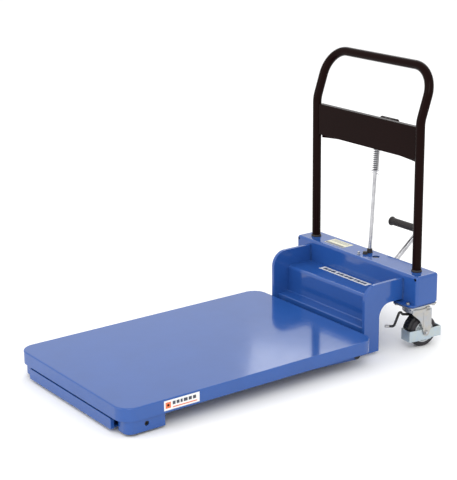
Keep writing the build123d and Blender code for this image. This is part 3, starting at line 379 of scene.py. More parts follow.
def bent_tube(name, route, bends, radius, corners=32, steps=10):
    """A round tube carried along a route, closed at both ends."""
    ahead = (Vector(route[1]) - Vector(route[0])).normalized()
    deselect()
    bpy.ops.mesh.primitive_circle_add(
        vertices=corners, radius=radius, location=route[0],
        rotation=ahead.to_track_quat("Z", "Y").to_euler(),
    )
    piece = settle(name)
    bpy.ops.object.mode_set(mode="EDIT")
    bpy.ops.mesh.select_all(action="SELECT")
    follow(route, bends, steps)
    bpy.ops.mesh.select_all(action="SELECT")
    bpy.ops.mesh.fill_holes(sides=0)
    tidy_faces()
    leave()
    return piece


def hexagon(name, centre, axis, across, height):
    """A hexagonal head with its corners turned down."""
    axis = Vector(axis).normalized()
    deselect()
    bpy.ops.mesh.primitive_cylinder_add(
        vertices=6, radius=across / math.sqrt(3), depth=height,
        location=Vector(centre) + axis * height / 2,
        rotation=axis.to_track_quat("Z", "Y").to_euler(),
    )
    piece = settle(name)
    bpy.ops.object.mode_set(mode="EDIT")
    pick("FACE", facing(axis))
    bpy.ops.mesh.inset(thickness=across * 0.09, depth=across * 0.05)
    leave()
    return soften(piece, across * 0.02, 1, 25)


def place_turned(piece, heading, spot):
    """Turn a piece about the upright through the origin, then move it to a spot."""
    take(piece)
    piece.matrix_world = Matrix.Translation(spot) @ Matrix.Rotation(heading, 4, "Z")
    bpy.ops.object.transform_apply(location=True, rotation=True, scale=True)
    return piece


def twin(piece, name):
    """A copy with its own mesh."""
    take(piece)
    bpy.ops.object.duplicate(linked=False)
    copy = bpy.context.active_object
    copy.name = name
    copy.data.name = name
    return copy


def mirrored(piece, name):
    """A copy on the other side of the centre plane, with its faces outwards."""
    copy = twin(piece, name)
    copy.scale.y = -1
    bpy.ops.object.transform_apply(location=True, rotation=True, scale=True)
    bpy.ops.object.mode_set(mode="EDIT")
    bpy.ops.mesh.select_all(action="SELECT")
    bpy.ops.mesh.normals_make_consistent(inside=False)
    leave()
    return copy


def hand_over(piece, body, coat=None, stands_for=(), sharp=32.0):
    """Shade, coat and mount a finished piece on its body."""
    take(piece)
    bpy.ops.object.shade_smooth_by_angle(angle=math.radians(sharp))
    modify(piece, "WEIGHTED_NORMAL", keep_sharp=True, weight=60)
    if coat is not None:
        piece.data.materials.clear()
        piece.data.materials.append(coat)
    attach(piece, body)
    if stands_for:
        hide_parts(*stands_for)
    return piece


# ------------------------------------------------------------------ finishes
class Coat:
    """A node material, built up on its own shader."""

    def __init__(self, name):
        self.material = bpy.data.materials.new(name)
        self.material.use_nodes = True
        self.tree = self.material.node_tree
        self.shader = self.tree.nodes["Principled BSDF"]
        self.place = self.tree.nodes.new("ShaderNodeTexCoord")

    def set(self, **values):
        """Values that are the same all over, on the shader's own sockets."""
        for name, value in values.items():
            self.shader.inputs[name.replace("_", " ")].default_value = value

    def grain(self, size, detail=3.0, rough=0.5, stretch=(1, 1, 1), kind="Noise"):
        """A pattern whose features are about a size across, in metres."""
        mapping = self.tree.nodes.new("ShaderNodeMapping")
        mapping.inputs["Scale"].default_value = stretch
        self.tree.links.new(self.place.outputs["Object"], mapping.inputs["Vector"])
        if kind == "Noise":
            texture = self.tree.nodes.new("ShaderNodeTexNoise")
            texture.inputs["Detail"].default_value = detail
            texture.inputs["Roughness"].default_value = rough
            output = texture.outputs["Fac"]
        else:
            texture = self.tree.nodes.new("ShaderNodeTexVoronoi")
            output = texture.outputs["Distance"]
        texture.inputs["Scale"].default_value = 1 / size
        self.tree.links.new(mapping.outputs["Vector"], texture.inputs["Vector"])
        return output

    def shades(self, pattern, stops, socket="Base Color"):
        """Colour from a pattern, by a ramp of (place, colour) stops."""
        ramp = self.tree.nodes.new("ShaderNodeValToRGB")
        points = ramp.color_ramp.elements
        points.remove(points[1])
        points[0].position, points[0].color = stops[0][0], (*stops[0][1], 1)
        for where, tone in stops[1:]:
            points.new(where).color = (*tone, 1)
        self.tree.links.new(pattern, ramp.inputs["Fac"])
        self.tree.links.new(ramp.outputs["Color"], self.shader.inputs[socket])

    def range(self, pattern, low, high, socket="Roughness", start=0.3, end=0.7):
        """A value that runs from low to high with a pattern."""
        span = self.tree.nodes.new("ShaderNodeMapRange")
        span.inputs["From Min"].default_value = start
        span.inputs["From Max"].default_value = end
        span.inputs["To Min"].default_value = low
        span.inputs["To Max"].default_value = high
        self.tree.links.new(pattern, span.inputs["Value"])
        self.tree.links.new(span.outputs["Result"], self.shader.inputs[socket])

    def relief(self, *layers):
        """Bumps, each (pattern, height in metres, strength), one on the other."""
        below = None
        for pattern, height, strength in layers:
            bump = self.tree.nodes.new("ShaderNodeBump")
            bump.inputs["Distance"].default_value = height
            bump.inputs["Strength"].default_value = strength
            self.tree.links.new(pattern, bump.inputs["Height"])
            if below is not None:
                self.tree.links.new(below, bump.inputs["Normal"])
            below = bump.outputs["Normal"]
        self.tree.links.new(below, self.shader.inputs["Normal"])


def tone(colour_value, factor):
    """A lighter or darker shade of a colour."""
    return tuple(min(1.0, c * factor) for c in colour_value)


def enamel_coat(name, base, rough, gloss, shine):
    """Gloss enamel: slight orange peel, uneven tone, faint scuffs."""
    coat = Coat(name)
    coat.set(Coat_Weight=gloss, Coat_Roughness=0.04, Specular_IOR_Level=shine)
    broad = coat.grain(0.16, 4, 0.6)
    coat.shades(broad, [(0.25, tone(base, 0.93)), (0.78, tone(base, 1.07)), (0.5, base)])
    coat.range(coat.grain(0.045, 6, 0.7), rough, rough + 0.06)
    coat.relief(
        (coat.grain(0.0050, 1, 0.4), 0.00003, 0.12),
        (coat.grain(0.055, 1, 0.4), 0.0004, 0.09),
    )
    return coat.material


def zinc_coat(name, base):
    """Passivated zinc plate: pale, with faint blue and straw clouding and rolling lines."""
    coat = Coat(name)
    coat.set(Metallic=0.82)
    cool = (base[0] * 0.90, base[1] * 0.98, base[2] * 1.08)
    warm = (base[0] * 1.08, base[1] * 1.02, base[2] * 0.90)
    coat.shades(coat.grain(0.030, 5, 0.65), [(0.32, cool), (0.68, warm), (0.5, tuple(base))])
    coat.range(coat.grain(0.006, 4, 0.6, (1, 1, 6)), 0.26, 0.42)
    coat.relief(
        (coat.grain(0.0016, 3, 0.6, (1, 1, 5)), 0.00004, 0.35),
        (coat.grain(0.012, 2, 0.5), 0.00025, 0.2),
    )
    return coat.material


def chrome_coat(name, base):
    """Polished plating with hairline marks."""
    coat = Coat(name)
    coat.set(Metallic=1.0)
    coat.shades(coat.grain(0.02, 3), [(0.3, tone(base, 0.78)), (0.7, tone(base, 1.12))])
    coat.range(coat.grain(0.003, 4, 0.7, (1, 1, 8)), 0.05, 0.14)
    coat.relief((coat.grain(0.0012, 2, 0.5, (1, 1, 0.1)), 0.00001, 0.3))
    return coat.material


def rubber_coat(name, base, sheen):
    """Moulded rubber: fine tooth and a dusty bloom."""
    coat = Coat(name)
    coat.set(Specular_IOR_Level=sheen)
    coat.shades(coat.grain(0.012, 5, 0.7), [(0.35, tuple(base)), (0.75, tone(base, 1.9))])
    coat.range(coat.grain(0.004, 4, 0.6), 0.42, 0.62)
    coat.relief(
        (coat.grain(0.0009, 2, 0.5), 0.00006, 0.4),
        (coat.grain(0.010, 3, 0.5), 0.0002, 0.2),
    )
    return coat.material


def nylon_coat(name, base):
    """Moulded nylon: milky, with flow marks."""
    coat = Coat(name)
    coat.set(Specular_IOR_Level=0.45)
    coat.shades(coat.grain(0.02, 4, 0.6), [(0.3, tone(base, 0.86)), (0.7, tone(base, 1.05))])
    coat.range(coat.grain(0.005, 3, 0.6), 0.34, 0.5)
    coat.relief((coat.grain(0.0015, 2, 0.5), 0.00005, 0.3))
    return coat.material


def cast_coat(name, base):
    """Sand-cast metal: pitted skin with dull patches."""
    coat = Coat(name)
    coat.set(Metallic=0.7)
    coat.shades(coat.grain(0.015, 6, 0.7), [(0.3, tone(base, 0.6)), (0.72, tone(base, 1.3))])
    coat.range(coat.grain(0.006, 4, 0.6), 0.42, 0.68)
    coat.relief(
        (coat.grain(0.0022, 4, 0.7), 0.0003, 0.5),
        (coat.grain(0.0035, kind="Cells"), 0.0002, 0.25),
    )
    return coat.material


def oxide_coat(name):
    """Black oxide on machined steel, rubbed bright in patches."""
    coat = Coat(name)
    coat.set(Metallic=0.85)
    coat.shades(
        coat.grain(0.018, 6, 0.7),
        [(0.35, (0.025, 0.025, 0.028)), (0.8, (0.16, 0.15, 0.145)), (0.6, (0.045, 0.044, 0.045))],
    )
    coat.range(coat.grain(0.004, 4, 0.6, (1, 6, 1)), 0.28, 0.5)
    coat.relief((coat.grain(0.0015, 2, 0.5, (1, 5, 1)), 0.00005, 0.3))
    return coat.material


def film_coat(name, base):
    """Printed film: faint paper mottle under a satin laminate."""
    coat = Coat(name)
    coat.set(Coat_Weight=0.3, Coat_Roughness=0.2)
    coat.shades(coat.grain(0.004, 4, 0.6), [(0.3, tone(base, 0.95)), (0.7, tone(base, 1.03))])
    coat.range(coat.grain(0.01, 3), 0.3, 0.42)
    coat.relief((coat.grain(0.0008, 2), 0.00002, 0.25))
    return coat.material


def make_coats():
    """Every finish of the truck, by name."""
    colours = bpy.context.scene.truck_colours
    base = {name: tuple(getattr(colours, name)) for name in (
        "enamel", "brown", "zinc", "chrome", "rubber", "tyre", "nylon", "iron", "film")}
    return {
        "blue_paint": enamel_coat("blue_enamel", base["enamel"], 0.08, 0.12, 0.45),
        "dark_paint": enamel_coat("dark_brown_enamel", base["brown"], 0.18, 0.02, 0.04),
        "zinc_plate": zinc_coat("zinc_plating", base["zinc"]),
        "blue_zinc": zinc_coat("blue_zinc_plating", (0.45, 0.52, 0.56)),
        "spring_steel": chrome_coat("spring_steel", (0.12, 0.12, 0.125)),
        "chrome_plate": chrome_coat("chrome_plating", base["chrome"]),
        "black_rubber": rubber_coat("moulded_rubber", base["rubber"], 0.45),
        "tyre_rubber": rubber_coat("tyre_rubber", base["tyre"], 0.35),
        "wheel_plastic": nylon_coat("hub_nylon", base["nylon"]),
        "nose_roller": nylon_coat("roller_nylon", (0.085, 0.085, 0.09)),
        "cast_metal": cast_coat("pump_casting", base["iron"]),
        "dark_steel": oxide_coat("black_oxide"),
        "label_white": film_coat("label_film", base["film"]),
        "print_dark": film_coat("label_print_dark", (0.03, 0.035, 0.06)),
        "print_orange": film_coat("label_print_orange", (0.72, 0.14, 0.035)),
        "print_cream": film_coat("label_print_cream", (0.62, 0.60, 0.42)),
    }


# ------------------------------------------------------------------ table
class TRUCK_OT_table(bpy.types.Operator):
    """Build the table: one pressed sheet with rounded corners and a deep rim"""

    bl_idname = "truck.table"
    bl_label = "Table"

    def execute(self, context):
        sizes = context.scene.truck_sheet
        low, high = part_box("deck_plate")
        table = block("table_top", low, high)
        edit(table)
        pick("EDGE", along(UP))
        bpy.ops.mesh.bevel(offset=sizes.table_corner, segments=18, affect="EDGES")
        pick("FACE", facing(-UP))
        bpy.ops.mesh.delete(type="FACE")
        pick("FACE", facing(UP))
        bpy.ops.mesh.region_to_loop()
        bpy.ops.mesh.bevel(offset=sizes.table_edge, segments=5, affect="EDGES")
        leave()
        thicken(table, sizes.sheet)
        soften(table, 0.0006, 2, 60)
        hand_over(table, "deck", COATS["blue_paint"], ["deck_plate"])
        return {"FINISHED"}


class TRUCK_OT_labels(bpy.types.Operator):
    """Build the labels, with plain blocks and bars as their print"""

    bl_idname = "truck.labels"
    bl_label = "Labels"

    def film(self, name, low, high, coat):
        piece = block(name, low, high)
        soften(piece, 0.00008, 1)
        piece.data.materials.append(COATS[coat])
        return piece

    def execute(self, context):
        low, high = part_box("rim_label")
        rise = (high.y - low.y) / 4
        parts = [self.film("rim_label_film", low, high - LEFT * rise, "label_white")]
        tall = high.z - low.z
        wide = high.x - low.x

        def print_on_rim(start, end, bottom, top, coat):
            corner = Vector((high.x - wide * end, high.y - 2 * rise, low.z + tall * bottom))
            other = Vector((high.x - wide * start, high.y, low.z + tall * top))
            parts.append(self.film("rim_print", corner, other, coat))

        print_on_rim(0.04, 0.19, 0.20, 0.82, "print_orange")
        print_on_rim(0.085, 0.145, 0.40, 0.62, "label_white")
        for start, end in ((0.24, 0.32), (0.35, 0.43), (0.46, 0.52), (0.55, 0.66), (0.69, 0.78),
            (0.81, 0.90)):
            print_on_rim(start, end, 0.46, 0.80, "print_dark")
        print_on_rim(0.24, 0.93, 0.16, 0.27, "print_orange")
        rim = join("rim_label_plate", *parts)
        hand_over(rim, "deck", None, ["rim_label"])

        low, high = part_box("frame_labels")
        step_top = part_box("step_cover")[1].z
        box_low, box_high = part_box("rear_box")
        film = high.z - box_high.z
        strip_low = Vector((high.x - 0.026, low.y, step_top))
        strip_low.y = high.y - 0.233
        strip_high = Vector((high.x, high.y, step_top + film))
        parts = [self.film("shelf_strip_film", strip_low, strip_high - UP * film / 4, "label_white")]
        blocks = ((0.05, 0.10), (0.115, 0.155), (0.17, 0.24), (0.255, 0.30), (0.33, 0.42), (0.435, 0.50),
                  (0.52, 0.60), (0.615, 0.66), (0.70, 0.78), (0.795, 0.85), (0.865, 0.95))
        run = strip_high.y - strip_low.y
        for start, end in blocks:
            corner = Vector((strip_low.x + 0.007, strip_high.y - run * end, step_top + film / 2))
            other = Vector((strip_high.x - 0.007, strip_high.y - run * start, step_top + film))
            parts.append(self.film("strip_print", corner, other, "print_dark"))
        strip = join("shelf_strip_label", *parts)
        hand_over(strip, "base", None, ["frame_labels"])

        middle = (box_low.x + box_high.x) / 2
        plate_low = Vector((middle - 0.024, low.y, box_high.z))
        plate_high = Vector((middle + 0.024, low.y + 0.094, box_high.z + film * 0.75))
        parts = [self.film("box_label_film", plate_low, plate_high, "print_cream")]
        for start, end, inset in ((0.10, 0.15, 0.008), (0.24, 0.29, 0.008), (0.38, 0.43, 0.008),
            (0.72, 0.98, 0.002)):
            corner = Vector((plate_low.x + 0.048 * start, plate_low.y + inset, box_high.z + film / 2))
            other = Vector((plate_low.x + 0.048 * end, plate_high.y - inset, box_high.z + film))
            parts.append(self.film("box_print", corner, other, "print_dark"))
        plate = join("box_label", *parts)
        hand_over(plate, "base")
        return {"FINISHED"}


# ------------------------------------------------------------------ frame
class TRUCK_OT_cheeks(bpy.types.Operator):
    """Build the two cheek plates with their wheel arches and feet"""

    bl_idname = "truck.cheeks"
    bl_label = "Cheeks"

    def execute(self, context):
        sizes = context.scene.truck_sheet
        table_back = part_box("deck_plate")[0].x
        low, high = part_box("cheek_left")
        front = table_back - sizes.cheek_gap
        back = front - sizes.cheek_depth
        outline = [
            (back, low.z), (high.x, low.z), (high.x, sizes.foot_hump),
            (table_back + 0.024, sizes.foot_hump), (table_back + 0.012, sizes.foot_top),
            (front, sizes.foot_top), (front, high.z), (low.x, high.z),
            (low.x, sizes.arch_top), (back, sizes.arch_top),
        ]
        rounds = [0, 0, 0.014, 0, 0, 0.006, sizes.cheek_corner, 0, 0, sizes.arch]
        cheek = slab(
            "cheek_plate_left", [(x, low.y, z) for x, z in outline], rounds,
            LEFT * (high.y - low.y), steps=14,
        )
        pivot = Vector(frame_joint("table_lift")["pos_m"])
        bore = rod("bore", (pivot.x, low.y - 0.01, pivot.z), (pivot.x, high.y + 0.01, pivot.z), 0.01206,
            0.001)
        cut(cheek, bore)
        soften(cheek, sizes.plate_edge, 3)
        other = mirrored(cheek, "cheek_plate_right")
        hand_over(cheek, "base", COATS["blue_paint"], ["cheek_left"])
        hand_over(other, "base", COATS["blue_paint"], ["cheek_right"])

        box_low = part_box("rear_box")[0]
        for name, side in SIDES.items():
            for face, reach in ((high.y, 0.0014), (low.y, -0.0014)):
                y = side * (face + reach)
                bead = bent_tube(
                    "weld_bead", [(low.x - 0.001, y, box_low.z + 0.003), (low.x - 0.001, y, high.z - 0.002)],
                    [], 0.0032, 14,
                )
                edit(bead)
                bpy.ops.mesh.subdivide(number_cuts=26)
                bpy.ops.transform.vertex_random(offset=0.0006, seed=7)
                leave()
                bead = join(f"weld_{name}_{'outer' if reach > 0 else 'inner'}", bead)
                hand_over(bead, "base", COATS["blue_paint"], sharp=80)
        return {"FINISHED"}


class TRUCK_OT_step(bpy.types.Operator):
    """Build the folded step between the cheeks: lip, riser and shelf"""

    bl_idname = "truck.step"
    bl_label = "Step"

    def execute(self, context):
        sizes = context.scene.truck_sheet
        table_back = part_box("deck_plate")[0].x
        low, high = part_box("step_cover")
        riser = table_back - sizes.riser_gap
        route = [
            (high.x, low.y, low.z), (high.x, low.y, sizes.lip_height), (riser, low.y, sizes.lip_height),
            (riser, low.y, high.z), (low.x, low.y, high.z),
        ]
        step = folded("step_shelf", route, [0.004, 0.003, 0.009], LEFT * (high.y - low.y), FORWARD + UP)
        thicken(step, sizes.step_sheet)
        soften(step, 0.0005, 2, 50)
        hand_over(step, "base", COATS["blue_paint"], ["step_cover"])
        return {"FINISHED"}


class TRUCK_OT_rear_box(bpy.types.Operator):
    """Build the pump's box, its floor plate and its back cover"""

    bl_idname = "truck.rear_box"
    bl_label = "Rear box"

    def execute(self, context):
        sizes = context.scene.truck_sheet
        tubes = context.scene.truck_tubes
        table_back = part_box("deck_plate")[0].x
        low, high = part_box("rear_box")
        box = block("rear_housing", low, high)
        edit(box)
        pick("EDGE", along(UP))
        bpy.ops.mesh.bevel(offset=sizes.box_corner, segments=8, affect="EDGES")
        pick("FACE", facing(-UP))
        bpy.ops.mesh.delete(type="FACE")
        pick("FACE", facing(UP))
        bpy.ops.mesh.region_to_loop()
        bpy.ops.mesh.bevel(offset=sizes.box_edge, segments=7, affect="EDGES")
        leave()
        thicken(box, sizes.sheet)

        def hole(x, y, radius):
            return rod("drill", (x, y, high.z - 0.02), (x, y, high.z + 0.02), radius, 0.0001, 40)

        handle_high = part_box("handle_tube")[1]
        post_x = handle_high.x - tubes.tube_radius
        post_y = handle_high.y - tubes.tube_radius
        filler = (table_back - 0.213, 0.055)
        cutters = [hole(post_x, side * post_y, tubes.tube_radius + 0.0004) for side in SIDES.values()]
        cutters.append(hole(*filler, 0.0125))
        cutters.append(hole(table_back - tubes.rod_base, tubes.rod_side, 0.009))
        for side in SIDES.values():
            relief = (side * (high.y - sizes.box_corner), high.z - sizes.box_corner)
            cutters.append(rod("drill", (high.x - 0.008, *relief), (high.x + 0.008, *relief), 0.0050, 0.0001))
        cover_low, cover_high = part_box("rear_cover")
        margin = 0.006
        cutters.append(block(
            "drill", (low.x - 0.01, cover_low.y + margin, cover_low.z + margin),
            (low.x + 0.01, cover_high.y - margin, cover_high.z - margin),
        ))
        slot_y = frame_joint("pedal_press")["pos_m"][1]
        cutters.append(block(
            "drill", (low.x - 0.01, slot_y - 0.013, low.z - 0.005),
            (low.x + 0.01, slot_y + 0.013, low.z + 0.03),
        ))
        cut(box, *cutters)
        soften(box, 0.0005, 2, 55)
        hand_over(box, "base", COATS["blue_paint"], ["rear_box"])

        edge_low, edge_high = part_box("box_floor")
        corners = [
            (edge_low.x, edge_low.y), (edge_high.x, edge_low.y), (edge_high.x, edge_high.y),
            (edge_low.x, edge_high.y),
        ]
        plate = slab(
            "box_floor_plate", [(x, y, edge_low.z) for x, y in corners], [0.006, 0.016, 0.016, 0.006],
            UP * (edge_high.z - edge_low.z),
        )
        pipe_hole = rod("drill", (post_x + 0.023, -0.020, 0.1), (post_x + 0.023, -0.020, 0.2), 0.008, 0.0001)
        cut(plate, pipe_hole)
        soften(plate, sizes.plate_edge, 3)
        hand_over(plate, "base", COATS["blue_paint"], ["box_floor"])

        corners = [
            (cover_low.y, cover_low.z), (cover_high.y, cover_low.z), (cover_high.y, cover_high.z),
            (cover_low.y, cover_high.z),
        ]
        cover = slab(
            "box_back_cover", [(cover_high.x, y, z) for y, z in corners], [0.005] * 4,
            FORWARD * (cover_low.x - cover_high.x),
        )
        slot = block(
            "drill", (cover_low.x - 0.01, slot_y - 0.013, low.z - 0.005),
            (cover_high.x + 0.01, slot_y + 0.013, low.z + 0.065),
        )
        edit(slot)
        pick("EDGE", along(FORWARD))
        bpy.ops.mesh.bevel(offset=0.006, segments=5, affect="EDGES")
        leave()
        cut(cover, slot)
        soften(cover, 0.0006, 2)
        hand_over(cover, "base", COATS["blue_paint"], ["rear_cover"])
        return {"FINISHED"}


class TRUCK_OT_fasteners(bpy.types.Operator):
    """Build the bolts of the floor plate, the cover's screws and the stub on the box"""

    bl_idname = "truck.fasteners"
    bl_label = "Fasteners"

    def execute(self, context):
        floor_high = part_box("box_floor")[1]
        cover_low, cover_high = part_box("rear_cover")
        box_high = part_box("rear_box")[1]
        table_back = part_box("deck_plate")[0].x
        parts = []
        for side in SIDES.values():
            spot = Vector((floor_high.x - 0.0075, side * 0.266, floor_high.z))
            washer = turned(
                "bolt_washer", spot, UP, [(0.0035, 0), (0.0068, 0), (0.0068, 0.0008), (0.0035, 0.0008),
                (0.0035, 0)],
                segments=32,
            )
            parts += [washer, hexagon("bolt_head", spot + UP * 0.0008, UP, 0.011, 0.0042)]
        middle = (cover_low.z + cover_high.z) / 2
        half = (cover_high.z - cover_low.z - 0.012) / 2 + 0.0025
        reach = (cover_high.y - cover_low.y - 0.022 + 0.011) / 2
        for y in (-reach, 0, reach):
            for z in (middle - half, middle + half):
                spot = Vector((cover_low.x, y, z))
                head = turned(
                    "screw_head", spot, -FORWARD, [(0, 0), (0.0036, 0), (0.0034, 0.0013), (0.0020, 0.0021),
                    (0, 0.0022)],
                    [0, 0.0006, 0.0008], 24,
                )
                for turn in (0, math.pi / 2):
                    slot = block(
                        "slot", spot - Vector((0.003, 0.0019, 0.00035)),
                        spot - Vector((0.0012, -0.0019, -0.00035)),
                    )
                    take(slot)
                    bpy.ops.transform.rotate(value=turn, orient_axis="X", center_override=spot)
                    cut(head, slot)
                parts.append(head)
        stub = Vector((table_back - 0.186, 0.002, box_high.z))
        parts.append(turned(
            "stub", stub, UP,
            [(0, 0), (0.005, 0), (0.005, 0.0035), (0.0036, 0.0042), (0.0036, 0.0090), (0.0028, 0.0098),
            (0, 0.0098)],
            segments=28,
        ))
        bolts = join("frame_fasteners", *parts)
        hand_over(bolts, "base", COATS["zinc_plate"], ["frame_bolts"])
        return {"FINISHED"}


class TRUCK_OT_nose(bpy.types.Operator):
    """Build the nose: cross bar, wheel housings, axles and rollers"""

    bl_idname = "truck.nose"
    bl_label = "Nose"

    def execute(self, context):
        sizes = context.scene.truck_sheet
        low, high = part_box("nose_bar")
        corners = [(low.y, low.z), (high.y, low.z), (high.y, high.z), (low.y, high.z)]
        bar = slab("nose_cross_bar", [(low.x, y, z) for y, z in corners], [0.005] * 4,
            FORWARD * (high.x - low.x))
        soften(bar, sizes.plate_edge, 3)
        hand_over(bar, "base", COATS["blue_paint"], ["nose_bar"])

        low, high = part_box("wheel_housing_left")
        wall_line = high.y - 0.045
        wheel = Vector(frame_joint("nose_wheel_left_spin")["pos_m"])
        route = [
            (low.x, high.y, low.z), (high.x, high.y, low.z), (high.x, wall_line, low.z),
            (low.x, wall_line, low.z),
        ]
        housing = folded("wheel_guard_left", route, [0.018, 0.003], UP * (high.z - low.z), LEFT, steps=10)
        thicken(housing, 0.004)
        spacer = block("spacer", (wheel.x - 0.044, low.y, low.z + 0.009),
            (wheel.x + 0.044, wall_line + 0.0005, high.z - 0.003))
        housing = join("wheel_guard_left", housing, spacer)
        bore = rod("drill", (wheel.x, low.y - 0.01, wheel.z), (wheel.x, high.y + 0.01, wheel.z), 0.0072,
            0.0001)
        cut(housing, bore)
        soften(housing, 0.0008, 2, 50)
        other = mirrored(housing, "wheel_guard_right")
        hand_over(housing, "base", COATS["blue_paint"], ["wheel_housing_left"])
        hand_over(other, "base", COATS["blue_paint"], ["wheel_housing_right"])

        axle_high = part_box("nose_axles")[1]
        axles = []
        for side in SIDES.values():
            start = Vector((wheel.x, side * (axle_high.y - 0.053), wheel.z))
            axles.append(turned(
                "axle", start, LEFT * side,
                [(0, 0), (0.006, 0), (0.007, 0.001), (0.007, 0.0523), (0.0063, 0.053), (0.0045, 0.053),
                 (0.0040, 0.0495), (0, 0.0495)], segments=40,
            ))
        axles = join("nose_axle_pins", *axles)
        hand_over(axles, "base", COATS["dark_steel"], ["nose_axles"])

        for name, side in SIDES.items():
            low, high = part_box(f"nose_wheel_{name}")
            radius = (high.z - low.z) / 2
            width = high.y - low.y
            centre = ((low.x + high.x) / 2, low.y, (low.z + high.z) / 2)
            profile = [
                (0.00706, 0), (radius - 0.008, 0), (radius - 0.010, 0.0015), (radius - 0.005, 0.0015),
                (radius - 0.004, 0), (radius, 0), (radius, width / 2), (radius, width),
                (radius - 0.004, width),
                (radius - 0.005, width - 0.0015), (radius - 0.010, width - 0.0015), (radius - 0.008, width),
                (0.00706, width), (0.00706, 0),
            ]
            rounds = [0] * 4 + [0.003, 0, 0.003] + [0] * 5
            roller = turned(f"nose_roller_{name}", centre, LEFT, profile, rounds, 64)
            hand_over(roller, f"nose_wheel_{name}", COATS["nose_roller"],
                [f"nose_wheel_{name}"])
        return {"FINISHED"}


# ------------------------------------------------------------------ handle
class TRUCK_OT_handle(bpy.types.Operator):
    """Build the handle: one bent tube, with rubber collars at its feet"""

    bl_idname = "truck.handle"
    bl_label = "Handle"

    def execute(self, context):
        sizes = context.scene.truck_tubes
        low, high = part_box("handle_tube")
        post_x = high.x - sizes.tube_radius
        post_y = high.y - sizes.tube_radius
        bar_z = high.z - sizes.tube_radius
        bar_x = post_x - (bar_z - sizes.kink_height) * math.tan(sizes.lean)
        route = [
            (post_x, post_y, low.z), (post_x, post_y, sizes.kink_height), (bar_x, post_y, bar_z),
            (bar_x, -post_y, bar_z), (post_x, -post_y, sizes.kink_height), (post_x, -post_y, low.z),
        ]
        bends = [sizes.kink_bend, sizes.corner_bend, sizes.corner_bend, sizes.kink_bend]
        tube = bent_tube("push_handle", route, bends, sizes.tube_radius, 48, 16)
        hand_over(tube, "base", COATS["dark_paint"], ["handle_tube"], 60)

        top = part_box("rear_box")[1].z
        table_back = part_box("deck_plate")[0].x
        inner = sizes.tube_radius + 0.0002
        parts = []
        for side in SIDES.values():
            parts.append(turned(
                "collar", (post_x, side * post_y, top), UP,
                [(inner, 0), (inner + 0.0023, 0), (inner + 0.0022, 0.003), (inner + 0.0012, 0.0065),
                (inner, 0.0068),
                 (inner, 0)], [0.0003, 0.001, 0.0015, 0.0002], 48,
            ))
        rod_x = table_back - sizes.rod_base
        parts.append(turned(
            "sleeve", (rod_x, sizes.rod_side, top), UP,
            [(0.0076, 0), (0.0098, 0), (0.0098, 0.003), (0.0090, 0.004), (0.0088, 0.013), (0.0076, 0.0138),
             (0.0076, 0)], [0, 0.0005, 0.001, 0.001, 0.0003], 36,
        ))
        cap = turned(
            "cap", (table_back - 0.206, 0.011, top), UP,
            [(0, 0), (0.0088, 0), (0.0088, 0.0018), (0.0076, 0.0026), (0.0072, 0.0082), (0.0050, 0.0088),
            (0, 0.0080)],
            [0, 0.0006, 0.001, 0.001, 0.001], 36,
        )
        parts.append(cap)
        collars = join("rubber_boots", *parts)
        hand_over(collars, "base", COATS["black_rubber"], ["rubber_collars"], 40)
        return {"FINISHED"}


class TRUCK_OT_panels(bpy.types.Operator):
    """Build the handle's front panel, and the rear one with its arched lower edge"""

    bl_idname = "truck.panels"
    bl_label = "Handle panels"

    def execute(self, context):
        low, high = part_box("front_panel")
        panel = block("handle_front_panel", low, high)
        soften(panel, 0.0009, 3)
        hand_over(panel, "base", COATS["dark_paint"], ["front_panel"])

        back_low, back_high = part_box("rear_panel")
        sheet = high.x - low.x
        rise = low.z - back_low.z
        half = back_high.y
        centre_z = low.z - (half**2 + rise**2) / (2 * rise)
        half_turn = math.asin(half * 2 * rise / (half**2 + rise**2))
        x = back_low.x
        panel = start_point("handle_rear_panel", (x, half, back_low.z))
        follow([(x, half, back_low.z), (x, half, back_high.z), (x, -half, back_high.z),
            (x, -half, back_low.z)], [0, 0])
        swing((x, 0, centre_z), -FORWARD, 2 * half_turn, 24)
        bpy.ops.mesh.select_all(action="SELECT")
        bpy.ops.mesh.remove_doubles(threshold=1e-5)
        bpy.ops.mesh.edge_face_add()
        push(FORWARD * sheet)
        tidy_faces()
        leave()
        cap = block("cap", (x + sheet, -half, back_high.z - sheet), (low.x, half, back_high.z))
        panel = join("handle_rear_panel", panel, cap)
        soften(panel, 0.0007, 2)
        hand_over(panel, "base", COATS["dark_paint"], ["rear_panel"])
        return {"FINISHED"}


